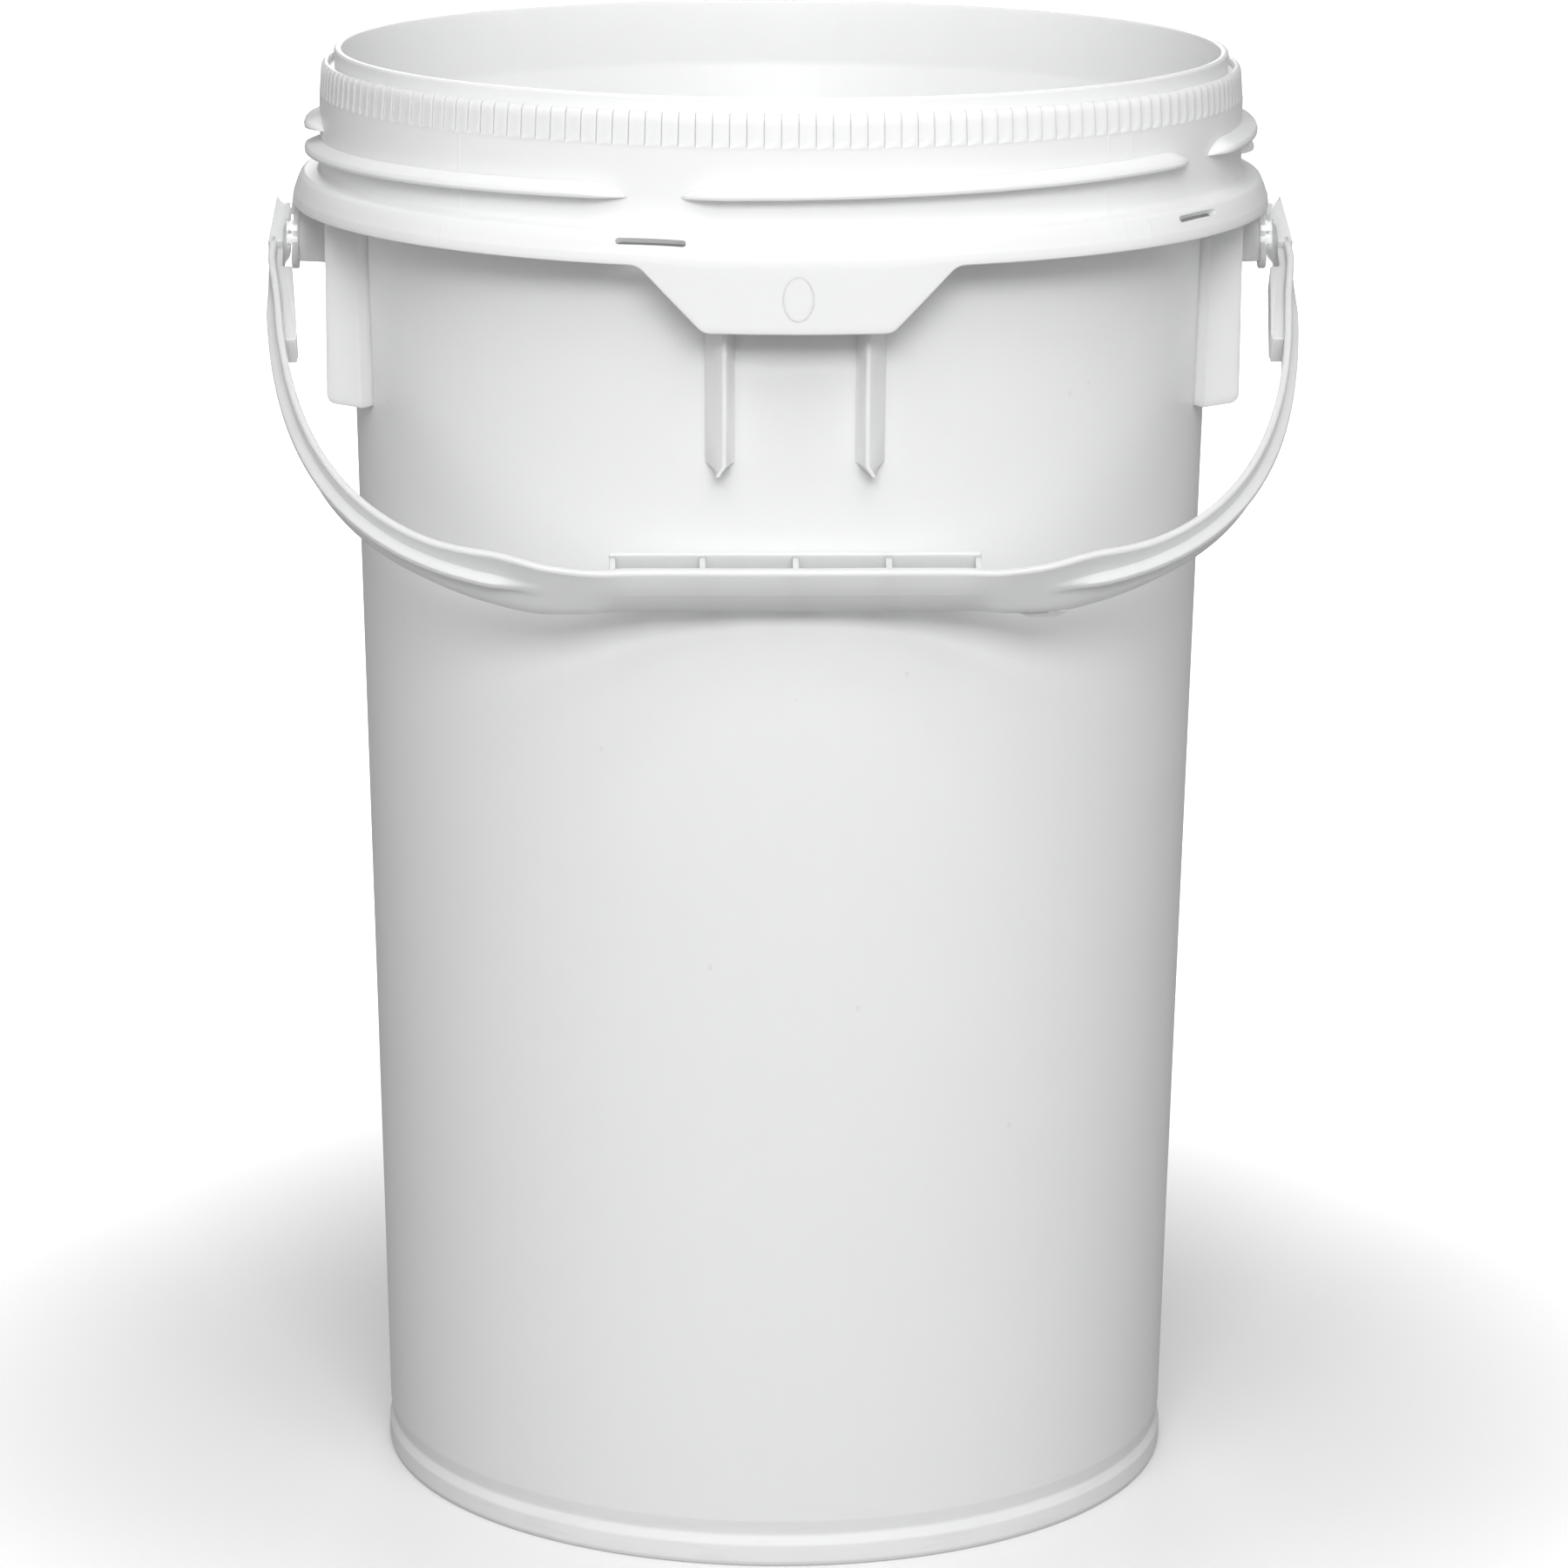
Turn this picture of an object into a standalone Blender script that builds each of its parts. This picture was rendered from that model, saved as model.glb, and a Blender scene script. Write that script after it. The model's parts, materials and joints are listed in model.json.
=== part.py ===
"""Plastic fermenting bucket: an open, screw-neck HDPE pail with a swinging plastic bail.

The pail stands on its foot ring at z = 0, centred on the world Z axis, with its front tab
towards -Y. The bail hinges about the X axis through the two ears and hangs against the
front of the pail. Sizes are in millimetres here and are turned into metres when a mesh is
made. Heights are measured up from the table unless a name says otherwise.
"""
import math

import bmesh
import bpy
from mathutils import Vector

MM = 0.001
GAP = 0.3                    # clearance between neighbouring solids
FACET_GAP = 0.4              # the same, from a flat piece to the faceted wall
CUT_PAST = 2.5               # how far a cutter runs past the face it opens
ROUND_STEPS = 72             # facets round the pail

# Pail wall
HEIGHT = 483.0               # table to rim
WALL = 2.4                   # wall thickness
RIM_R = 147.6                # outer radius of the rim
FLARE_BOTTOM_Z = 443.0       # where the wall starts to widen into the mouth
FLARE_TOP_Z = 461.0
FLARE_TOP_R = 147.0
SHOULDER_R = 143.5           # outer radius under the flare
BELLY_Z = 90.0
BELLY_R = 135.5
WALL_FOOT_R = 134.0
WALL_FOOT_Z = 10.2

# Base
FOOT_R = 134.5
FOOT_TOP = 9.4
FOOT_THICK = 3.0
FOOT_EDGE = 1.0
FOOT_LIP = 0.4               # the foot steps in by this much under the groove
FLOOR_LOW = 5.5              # the floor is recessed so only the foot ring touches
FLOOR_HIGH = 8.7

# Ratchet ring under the rim
RATCHET_TEETH = 180
RATCHET_TOP = HEIGHT - 4.4
RATCHET_LOW = HEIGHT - 15.4
RATCHET_TIP_R = 152.3
RATCHET_ROOT_R = 151.3
RATCHET_FLANK = 0.5          # steep flank, as degrees of the two-degree pitch

# Neck and its two-start thread
NECK_R = 152.5
NECK_WALL = 2.5
THREAD_CREST_R = 157.7
THREAD_HALF_HEIGHT = 2.25
THREAD_RISE = 0.045          # rise per degree
THREAD_FRONT_Z = HEIGHT - 27.75
THREAD_RUNS = ((-95.0, -20.0), (-13.5, 54.0), (60.0, 100.0))
THREAD_STEP = 3.2            # degrees between sections
THREAD_TAPER = 7.0           # degrees over which an end runs out
THREAD_END_SCALE = 0.12      # what is left of the ridge at its very end
THREAD_END_HEIGHT = 0.55     # share of its height that a ridge keeps where it has run out
# outline of the ridge, as shares of how proud and how high it stands: sloping above, flat below
THREAD_SHAPE = ((0.0, 1.0), (0.5, 0.66), (0.9, 0.14), (1.0, -0.35), (0.96, -0.8), (0.8, -0.96), (0.0, -1.0))

# Collar
COLLAR_TOP = HEIGHT - 39.9
COLLAR_R = 161.8
COLLAR_ARC_Z = HEIGHT - 47.5  # where the rounded shoulder meets the skirt
COLLAR_LOW = HEIGHT - 50.5
COLLAR_WALL = 2.4
COLLAR_ARC_R = NECK_R + 0.5   # where the rounded shoulder starts
COLLAR_ARC_STEPS = 5
SLOT_ANGLES = (-16.4, 54.0, 163.6, 234.0)
SLOT_LENGTH = 22.5
SLOT_WIDTH = 2.6
SLOT_TILT = 40.0             # the slots cut square to the rounded shoulder
SLOT_R = 159.6
SLOT_Z = HEIGHT - 43.5
SLOT_REACH = 6.0             # half depth of the block that cuts a slot

# Front tab and the two ribs under it
TAB_R = 161.6
TAB_WALL = 2.2
TAB_LOW = HEIGHT - 70.8
TAB_TOP_HALF = 50.0          # half width along the arc at the collar
TAB_LOW_HALF = 29.4
TAB_TOP_FILLET = 5.0
TAB_TOP_SWEEP = 0.35         # how far the upper corners spread, as a share of their fillet
TAB_LOW_FILLET = 6.0
TAB_LOW_SWEEP = 0.42         # how far the lower corners draw in
TAB_COLUMNS = 14
TAB_ROWS = 12
TAB_RIB_ANGLE = 9.5          # degrees either side of the front
TAB_RIB_WIDTH = 8.3
TAB_RIB_PROUD = 8.0
TAB_RIB_APEX = 2.6           # the crest sits this far towards the front centre line
TAB_RIB_TOP = COLLAR_LOW + 4.0
TAB_RIB_LOW = HEIGHT - 117.5
TAB_RIB_POINT = 3.0          # height of the pointed lower end
TAB_RIB_POINT_WIDTH = 0.25   # share of the width left at the very point
TAB_RIB_CREST_HALF = 0.6

# Side plates and hinge ears
PLATE_Y = 43.0
PLATE_THICK = 2.2
PLATE_OUT_X = 149.6
PLATE_TOP = HEIGHT - 44.8
PLATE_LOW = HEIGHT - 113.8
PLATE_CORNER = 4.0
PLATE_FOLD_X = 138.1         # the lower edge is a shallow V with its lowest point here
PLATE_RISE = 1.2             # rise of the lower edge from there to the outside
PLATE_ROOT_RISE = 0.8        # and to the wall
PLATE_TOP_GAP = 0.5          # from the faceted wall to the plate's inner edge, at the top
PLATE_LOW_GAP = 0.8
HINGE_Z = HEIGHT - 62.2
EAR_IN_X = 159.6
EAR_OUT_X = 162.6
EAR_FRONT_Y = -3.0
EAR_REAR_Y = 6.0
EAR_LOW = HEIGHT - 74.5
EAR_WEB_LOW = HEIGHT - 71.5
EAR_WEB_DROP = 0.8           # the webs' lower edge falls by this much towards the wall
EAR_WEB_TOP = HEIGHT - 47.9
EAR_WEB_STEP_X = 158.9        # inside the collar's skirt the webs end here
EAR_WEB_IN_X = 144.0
EAR_WEB_THICK = 2.1

# Split snap pins
PIN_NECK_R = 3.55
PIN_HEAD_R = 4.35
PIN_SPLIT = 2.0
PIN_HEAD_X = 164.35
PIN_TIP_X = 166.2
PIN_TIP_R = 3.25
PIN_BARB = 0.1               # the head's steep back, and then its short flat
PIN_HEAD_FLAT = 0.5

# Bail, in its own plane: x sideways, s from the hinge axis out to the grip, w across
BAIL_LEAN = 59.5             # degrees forward of straight down when it rests on the pail
EYE_IN_X = 163.0
EYE_OUT_X = 168.8
EYE_END_S = -10.5
EYE_FAR_S = 12.0
EYE_HALF_W = 8.0
EYE_HOLE_R = 3.95
EYE_POCKET_R = 4.75
EYE_SKIN_X = 166.6           # inner face of the outer skin
EYE_SLOT_HALF = 3.1
EYE_LAYER_X = 164.1          # the snap-over layer lies inboard of this
EYE_LEAD_IN = (2.6, 5.0)     # ramp at the end that rides up the pins: depth and length
EYE_OUT_LEAN = (1.4, 1.0)    # the outer face leans out from the end towards the arm
EYE_EDGE = 0.8
ARM_START = (169.3, 12.3)
ARM_BEND = ((170.2, 22.0), (168.0, 121.0), (140.0, 179.9), (58.3, 179.9))
ARM_STEPS = 26
ARM_HALF_W = 8.0
ARM_WIDEN = 2.6              # extra half width just before the grip
ARM_DEEP = 5.0               # inner face to ridge crest
ARM_WEB = 2.2
ARM_FLAT_DEEP = 2.8          # inner face to outer face where the ridge has died out
ARM_FLAT_CROWN = 0.3
ARM_WIDEST = (0.86, 0.1)     # share of the arm's length where it is widest, and the swell's spread
RIDGE_RISE = 0.12            # share of the length over which the ridge rises at the eye
RIDGE_FALL = (0.93, 0.1)     # share where it has died out, and over how much
RIDGE_HALF = 2.3
RIDGE_CREST = 0.8
GRIP_HALF = 58.0
GRIP_S = 179.9
GRIP_HALF_W = 8.4
GRIP_WEB = 2.4
GRIP_CROWN = 2.4
GRIP_BOW = 0.8
GRIP_COLUMNS = 12
GRIP_ROWS = 6
FLANGE_S = 170.1             # outboard face of the rear flange
FLANGE_WALL = 1.8
FLANGE_TOP_W = 8.4
FLANGE_LOW_W = -6.6
FLANGE_EDGE = 0.5
GRIP_RIBS = (-57.0, -29.0, 0.0, 29.0, 57.0)
GRIP_RIB_THICK = 2.0
GRIP_RIB_FRONT_W = 6.9       # the ribs stop short of the strap's and the flange's upper edges
GRIP_RIB_REAR_W = 7.4
LUG_S = (24.0, 61.5)
LUG_IN_X = (161.3, 158.3)    # inboard face at each end
LUG_W = (-5.0, 5.0)
LUG_CORNER = 2.0
LUG_OUT_X = (164.4, 162.2)   # outboard face, just inside the arm

PAIL_COLOUR = (0.86, 0.87, 0.87, 1.0)
PLATE_COLOUR = (0.82, 0.83, 0.83, 1.0)
BAIL_COLOUR = (0.74, 0.75, 0.75, 1.0)
PAIL_ROUGHNESS = 0.32
BAIL_ROUGHNESS = 0.42


# ---------------------------------------------------------------- helpers

def clear_scene():
    for item in list(bpy.data.objects):
        bpy.data.objects.remove(item, do_unlink=True)


def plastic(name, colour, roughness):
    """A plain moulded plastic."""
    material = bpy.data.materials.new(name)
    material.use_nodes = True
    shader = material.node_tree.nodes["Principled BSDF"]
    shader.inputs["Base Color"].default_value = colour
    shader.inputs["Roughness"].default_value = roughness
    shader.inputs["Metallic"].default_value = 0.0
    return material


def make_solid(name, points, faces, colour=PAIL_COLOUR, roughness=PAIL_ROUGHNESS, parent=None):
    """One closed body from points in millimetres, with its faces turned outwards."""
    mesh = bpy.data.meshes.new(name)
    mesh.from_pydata([Vector(p) * MM for p in points], [], faces)
    work = bmesh.new()
    work.from_mesh(mesh)
    bmesh.ops.recalc_face_normals(work, faces=work.faces)
    work.to_mesh(mesh)
    work.free()
    mesh.shade_smooth()
    mesh.set_sharp_from_angle(angle=math.radians(30))
    mesh.materials.append(plastic(name, colour, roughness))
    solid = bpy.data.objects.new(name, mesh)
    solid.parent = parent
    bpy.context.collection.objects.link(solid)
    return solid


def loft(sections, closed=False):
    """Points and faces that join equal rings of points; open lofts get flat ends."""
    size = len(sections[0])
    count = len(sections)
    points = [point for section in sections for point in section]
    faces = []
    for i in range(count if closed else count - 1):
        a = i * size
        b = (i + 1) % count * size
        for j in range(size):
            k = (j + 1) % size
            faces.append((a + j, a + k, b + k, b + j))
    if not closed:
        faces.append(tuple(range(size)))
        faces.append(tuple((count - 1) * size + j for j in range(size)))
    return points, faces


def polar(radius, degrees, z):
    """A point at an angle from the front (-Y), counted towards +X."""
    angle = math.radians(degrees)
    return (radius * math.sin(angle), -radius * math.cos(angle), z)


def turned(name, profile, **look):
    """A ring whose closed (radius, z) profile is turned round the pail's axis."""
    step = 360.0 / ROUND_STEPS
    sections = [[polar(r, i * step, z) for r, z in profile] for i in range(ROUND_STEPS)]
    return make_solid(name, *loft(sections, closed=True), **look)


def prism(name, outline, place, low, high, **look):
    """A flat outline given depth: place(u, v, depth) turns it into a point."""
    sections = [[place(u, v, depth) for u, v in outline] for depth in (low, high)]
    return make_solid(name, *loft(sections), **look)


def arc(centre, radius, start, end, steps):
    """Points of a circular arc in a plane, angles in degrees."""
    points = []
    for i in range(steps + 1):
        angle = math.radians(start + (end - start) * i / steps)
        points.append((centre[0] + radius * math.cos(angle), centre[1] + radius * math.sin(angle)))
    return points


def cut(solid, cutter_name, points, faces, parent=None):
    """Take a hidden guide solid away from a solid."""
    cutter = make_solid(cutter_name, points, faces, parent=parent)
    cutter.hide_render = True
    cutter.display_type = "WIRE"
    modifier = solid.modifiers.new(cutter_name, "BOOLEAN")
    modifier.operation = "DIFFERENCE"
    modifier.solver = "EXACT"
    modifier.object = cutter


def wall_radius(z):
    """Outer radius of the pail wall at a height."""
    stations = (
        (WALL_FOOT_Z, WALL_FOOT_R),
        (BELLY_Z, BELLY_R),
        (FLARE_BOTTOM_Z, SHOULDER_R),
        (FLARE_TOP_Z, FLARE_TOP_R),
        (HEIGHT, RIM_R),
    )
    for (z0, r0), (z1, r1) in zip(stations, stations[1:]):
        if z <= z1:
            return r0 + (r1 - r0) * (z - z0) / (z1 - z0)
    return RIM_R


# ---------------------------------------------------------------- pail

def pail_wall():
    """The tapered tube from the foot to the rim."""
    outside = [(wall_radius(z), z) for z in (HEIGHT, FLARE_TOP_Z, FLARE_BOTTOM_Z, BELLY_Z, WALL_FOOT_Z)]
    inside = [(r - WALL, z) for r, z in reversed(outside)]
    turned("pail_wall", outside + inside)


def base():
    """Foot ring and the recessed floor inside it."""
    inner = FOOT_R - FOOT_THICK
    turned("foot_ring", [
        (FOOT_R - FOOT_LIP, FOOT_TOP), (FOOT_R, FOOT_TOP - FOOT_EDGE), (FOOT_R, FOOT_EDGE),
        (FOOT_R - FOOT_EDGE, 0.0), (inner, 0.0), (inner, FOOT_TOP),
    ])
    rim = inner - GAP
    step = 360.0 / ROUND_STEPS
    sections = [[polar(rim, i * step, z) for i in range(ROUND_STEPS)] for z in (FLOOR_LOW, FLOOR_HIGH)]
    make_solid("pail_floor", *loft(sections))


def ratchet_ring():
    """Saw-toothed ring: each tooth climbs slowly to its tip and drops on a steep flank."""
    pitch = 360.0 / RATCHET_TEETH
    inner = RIM_R + GAP
    sections = []
    for tooth in range(RATCHET_TEETH):
        for turn, outer in ((0.0, RATCHET_TIP_R), (RATCHET_FLANK, RATCHET_ROOT_R)):
            angle = tooth * pitch + turn
            sections.append([
                polar(inner, angle, RATCHET_TOP),
                polar(outer, angle, RATCHET_TOP),
                polar(outer, angle, RATCHET_LOW),
                polar(inner, angle, RATCHET_LOW),
            ])
    make_solid("ratchet_ring", *loft(sections, closed=True))


def neck():
    """The screw neck, a skirt that hangs outside the mouth of the wall."""
    inner = NECK_R - NECK_WALL
    top = RATCHET_LOW - GAP
    low = COLLAR_TOP + GAP
    turned("neck_skirt", [(NECK_R, top), (NECK_R, low), (inner, low), (inner, top)])


def thread_section(angle, scale):
    """Ridge outline at an angle, standing on the neck."""
    centre = THREAD_FRONT_Z + THREAD_RISE * angle
    root = NECK_R + GAP
    proud = (THREAD_CREST_R - root) * scale
    half = THREAD_HALF_HEIGHT * (THREAD_END_HEIGHT + (1.0 - THREAD_END_HEIGHT) * scale)
    return [(root + proud * out, centre + half * up) for out, up in THREAD_SHAPE]


def threads():
    """Two starts half a turn apart, each broken by gaps into three runs."""
    for start in range(2):
        turn = 180.0 * start
        for run, (first, last) in enumerate(THREAD_RUNS):
            steps = round((last - first) / THREAD_STEP)
            sections = []
            for i in range(steps + 1):
                angle = first + (last - first) * i / steps
                end_distance = min(angle - first, last - angle)
                scale = max(THREAD_END_SCALE, min(1.0, end_distance / THREAD_TAPER))
                section = thread_section(angle, scale)
                sections.append([polar(r, angle + turn, z) for r, z in section])
            make_solid(f"thread_{start + 1}_run_{run + 1}", *loft(sections))


def collar():
    """Rounded flange with a short skirt, pierced by drain slots."""
    inner = NECK_R - NECK_WALL
    wide = COLLAR_R - COLLAR_ARC_R
    tall = COLLAR_TOP - COLLAR_ARC_Z
    outside = []
    inside = []
    for i in range(COLLAR_ARC_STEPS + 1):
        angle = math.radians(90.0 * (1 - i / COLLAR_ARC_STEPS))
        outside.append((COLLAR_ARC_R + wide * math.cos(angle), COLLAR_ARC_Z + tall * math.sin(angle)))
        inside.append((
            COLLAR_ARC_R + (wide - COLLAR_WALL) * math.cos(angle),
            COLLAR_ARC_Z + (tall - COLLAR_WALL) * math.sin(angle),
        ))
    profile = [(inner, COLLAR_TOP)] + outside + [(COLLAR_R, COLLAR_LOW), (COLLAR_R - COLLAR_WALL, COLLAR_LOW)]
    profile += list(reversed(inside)) + [(inner, COLLAR_TOP - COLLAR_WALL)]
    flange = turned("collar_flange", profile)
    for number, angle in enumerate(SLOT_ANGLES):
        points, faces = slot_block(angle)
        cut(flange, f"slot_guide_{number + 1}", points, faces)


def slot_block(angle):
    """A block the size of one slot, square to the rounded shoulder."""
    out = Vector(polar(1.0, angle, 0.0))
    side = Vector((-out.y, out.x, 0.0))
    up = Vector((0.0, 0.0, 1.0))
    tilt = math.radians(SLOT_TILT)
    through = out * math.cos(tilt) + up * math.sin(tilt)
    across = up * math.cos(tilt) - out * math.sin(tilt)
    centre = out * SLOT_R + up * SLOT_Z
    sections = []
    for depth in (-SLOT_REACH, SLOT_REACH):
        middle = centre + through * depth
        sections.append([
            middle + side * (sx * SLOT_LENGTH / 2) + across * (sy * SLOT_WIDTH / 2)
            for sx, sy in ((-1, -1), (1, -1), (1, 1), (-1, 1))
        ])
    return loft(sections)


def tab_half_width(z):
    """Half width of the front tab along its arc: sloping sides with rounded corners."""
    top = COLLAR_LOW - GAP
    side = TAB_LOW_HALF + (TAB_TOP_HALF - TAB_LOW_HALF) * (z - TAB_LOW) / (top - TAB_LOW)
    if top - z < TAB_TOP_FILLET:
        side += TAB_TOP_SWEEP * (TAB_TOP_FILLET - (top - z)) ** 2 / TAB_TOP_FILLET
    if z - TAB_LOW < TAB_LOW_FILLET:
        side -= TAB_LOW_SWEEP * (TAB_LOW_FILLET - (z - TAB_LOW)) ** 2 / TAB_LOW_FILLET
    return side


def front_tab():
    """Curved trapezoid that carries the skirt on downwards at the front."""
    top = COLLAR_LOW - GAP
    sections = []
    for row in range(TAB_ROWS + 1):
        # rows crowd together near the rounded corners
        share = 0.5 - 0.5 * math.cos(math.pi * row / TAB_ROWS)
        z = top + (TAB_LOW - top) * share
        half = math.degrees(tab_half_width(z) / TAB_R)
        angles = [half * (2 * c / TAB_COLUMNS - 1) for c in range(TAB_COLUMNS + 1)]
        front = [polar(TAB_R, a, z) for a in angles]
        back = [polar(TAB_R - TAB_WALL, a, z) for a in reversed(angles)]
        sections.append(front + back)
    make_solid("front_tab", *loft(sections))


def tab_ribs():
    """Wedge-shaped ribs on the wall below the tab, with pointed lower ends."""
    for side, name in ((-1, "tab_rib_left"), (1, "tab_rib_right")):
        angle = side * TAB_RIB_ANGLE
        out = Vector(polar(1.0, angle, 0.0))
        across = Vector((-out.y, out.x, 0.0)) * -side
        sections = []
        for z, spread in (
            (TAB_RIB_TOP, 1.0), (TAB_RIB_LOW + TAB_RIB_POINT, 1.0), (TAB_RIB_LOW, TAB_RIB_POINT_WIDTH),
        ):
            root = wall_radius(z) + FACET_GAP
            crest = min(root + TAB_RIB_PROUD, TAB_R - TAB_WALL - GAP)
            half = TAB_RIB_WIDTH / 2 * spread
            apex = TAB_RIB_APEX * spread
            up = Vector((0.0, 0.0, z))
            sections.append([
                out * root - across * half + up,
                out * root + across * half + up,
                out * crest + across * (apex + TAB_RIB_CREST_HALF) + up,
                out * crest + across * (apex - TAB_RIB_CREST_HALF) + up,
            ])
        make_solid(name, *loft(sections))


def side_plates():
    """Thin upright plates between the wall and the collar, ahead of and behind each ear."""
    for sx, side in ((-1, "left"), (1, "right")):
        for sy, end in ((-1, "front"), (1, "rear")):
            near = PLATE_Y - PLATE_THICK / 2
            far = PLATE_Y + PLATE_THICK / 2
            top_x = math.sqrt(wall_radius(PLATE_TOP) ** 2 - near ** 2) + PLATE_TOP_GAP
            low_x = math.sqrt(wall_radius(PLATE_LOW) ** 2 - near ** 2) + PLATE_LOW_GAP
            corner = (PLATE_OUT_X - PLATE_CORNER, PLATE_LOW + PLATE_RISE + PLATE_CORNER)
            outline = [(top_x, PLATE_TOP), (low_x, PLATE_LOW + PLATE_ROOT_RISE), (PLATE_FOLD_X, PLATE_LOW)]
            outline += arc(corner, PLATE_CORNER, -90.0, 0.0, 4)
            outline.append((PLATE_OUT_X, PLATE_TOP))
            prism(
                f"side_plate_{side}_{end}", outline,
                lambda u, v, depth, sx=sx, sy=sy: (sx * u, sy * depth, v),
                near, far, colour=PLATE_COLOUR,
            )


def ears():
    """Hinge ears: an upright leaf below the collar, tied to the wall by two webs."""
    top = COLLAR_LOW - GAP
    middle = (EAR_FRONT_Y + EAR_REAR_Y) / 2
    half = (EAR_REAR_Y - EAR_FRONT_Y) / 2
    leaf = [(EAR_FRONT_Y, top)] + arc((middle, EAR_LOW + half), half, 180.0, 360.0, 8) + [(EAR_REAR_Y, top)]
    web_out = EAR_IN_X - GAP
    web = [
        (EAR_WEB_IN_X, EAR_WEB_LOW - EAR_WEB_DROP), (web_out, EAR_WEB_LOW), (web_out, top),
        (EAR_WEB_STEP_X, top), (EAR_WEB_STEP_X, EAR_WEB_TOP), (EAR_WEB_IN_X, EAR_WEB_TOP),
    ]
    for sx, side in ((-1, "left"), (1, "right")):
        prism(
            f"ear_leaf_{side}", leaf,
            lambda u, v, depth, sx=sx: (sx * depth, u, v), EAR_IN_X, EAR_OUT_X,
        )
        for low, end in ((EAR_FRONT_Y, "front"), (EAR_REAR_Y - EAR_WEB_THICK, "rear")):
            prism(
                f"ear_web_{side}_{end}", web,
                lambda u, v, depth, sx=sx: (sx * u, depth, v), low, low + EAR_WEB_THICK,
                colour=PLATE_COLOUR,
            )


def snap_pins():
    """Two half-round prongs stand out of each ear and end in a barbed head."""
    stations = (
        (EAR_OUT_X + GAP, PIN_NECK_R), (PIN_HEAD_X - PIN_BARB, PIN_NECK_R), (PIN_HEAD_X, PIN_HEAD_R),
        (PIN_HEAD_X + PIN_HEAD_FLAT, PIN_HEAD_R), (PIN_TIP_X, PIN_TIP_R),
    )
    flat = PIN_SPLIT / 2
    for sx, side in ((-1, "left"), (1, "right")):
        for sz, level in ((1, "upper"), (-1, "lower")):
            sections = []
            for x, radius in stations:
                start = math.degrees(math.asin(flat / radius))
                half_round = arc((0.0, 0.0), radius, start, 180.0 - start, 10)
                sections.append([(sx * x, y, HINGE_Z + sz * z) for y, z in half_round])
            make_solid(f"pin_{side}_{level}", *loft(sections))


# ---------------------------------------------------------------- bail

def bail_point(x, s, w):
    """A point of the bail in the pivot's own axes, where the bail hangs straight down."""
    return (x, -w, -s)


def bail_pivot():
    """Empty on the hinge axis, turned so that the bail leans on the front of the pail."""
    pivot = bpy.data.objects.new("bail_pivot", None)
    pivot.location = (0.0, 0.0, HINGE_Z * MM)
    pivot.rotation_euler = (math.radians(-BAIL_LEAN), 0.0, 0.0)
    bpy.context.collection.objects.link(pivot)
    return pivot


def bail_look(parent):
    return {"colour": BAIL_COLOUR, "roughness": BAIL_ROUGHNESS, "parent": parent}


def bail_eyes(pivot):
    """Thick pads that snap over the split pins through an open-sided hole."""
    ramp_deep, ramp_long = EYE_LEAD_IN
    lean_end, lean_arm = EYE_OUT_LEAN
    profile = [
        (EYE_IN_X + ramp_deep, EYE_END_S), (EYE_IN_X, EYE_END_S + ramp_long), (EYE_IN_X, EYE_FAR_S),
        (EYE_OUT_X + lean_arm, EYE_FAR_S), (EYE_OUT_X - lean_end, EYE_END_S),
    ]
    for sx, side in ((-1, "left"), (1, "right")):
        pad = prism(
            f"bail_eye_{side}", profile,
            lambda u, v, depth, sx=sx: bail_point(sx * u, v, depth),
            -EYE_HALF_W, EYE_HALF_W, **bail_look(pivot),
        )
        edge = pad.modifiers.new("edges", "BEVEL")
        edge.width = EYE_EDGE * MM
        edge.segments = 1
        for part, radius, x0, x1 in (
            ("hole", EYE_HOLE_R, EYE_IN_X - CUT_PAST, EYE_LAYER_X + GAP),
            ("pocket", EYE_POCKET_R, EYE_LAYER_X, EYE_SKIN_X),
        ):
            slot_half = EYE_SLOT_HALF * radius / EYE_HOLE_R
            bend = math.degrees(math.asin(slot_half / radius))
            outline = arc((0.0, 0.0), radius, bend, 360.0 - bend, 18)
            outline += [(EYE_FAR_S + CUT_PAST, -slot_half), (EYE_FAR_S + CUT_PAST, slot_half)]
            sections = [[bail_point(sx * x, s, w) for s, w in outline] for x in (x0, x1)]
            cut(pad, f"eye_{part}_guide_{side}", *loft(sections), parent=pivot)


def bezier(control, t):
    """A point on a cubic curve."""
    weights = ((1 - t) ** 3, 3 * (1 - t) ** 2 * t, 3 * (1 - t) * t ** 2, t ** 3)
    return tuple(sum(k * point[axis] for k, point in zip(weights, control)) for axis in (0, 1))


def arm_section(share):
    """(inward depth, w) outline at a share of the arm's length, counted from the crest line."""
    widest, spread = ARM_WIDEST
    half = ARM_HALF_W + ARM_WIDEN * math.exp(-((share - widest) / spread) ** 2)
    gone, fall = RIDGE_FALL
    ridge = min(1.0, share / RIDGE_RISE, max(0.0, (gone - share) / fall))
    deep = ARM_FLAT_DEEP + (ARM_DEEP - ARM_FLAT_DEEP) * ridge
    face = deep - ARM_WEB
    crown = ARM_FLAT_CROWN * (1 - ridge)
    return [
        (deep, -half), (face, -half), (face - crown, -RIDGE_HALF), (0.0, -RIDGE_CREST),
        (0.0, RIDGE_CREST), (face - crown, RIDGE_HALF), (face, half), (deep, half),
    ]


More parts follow.
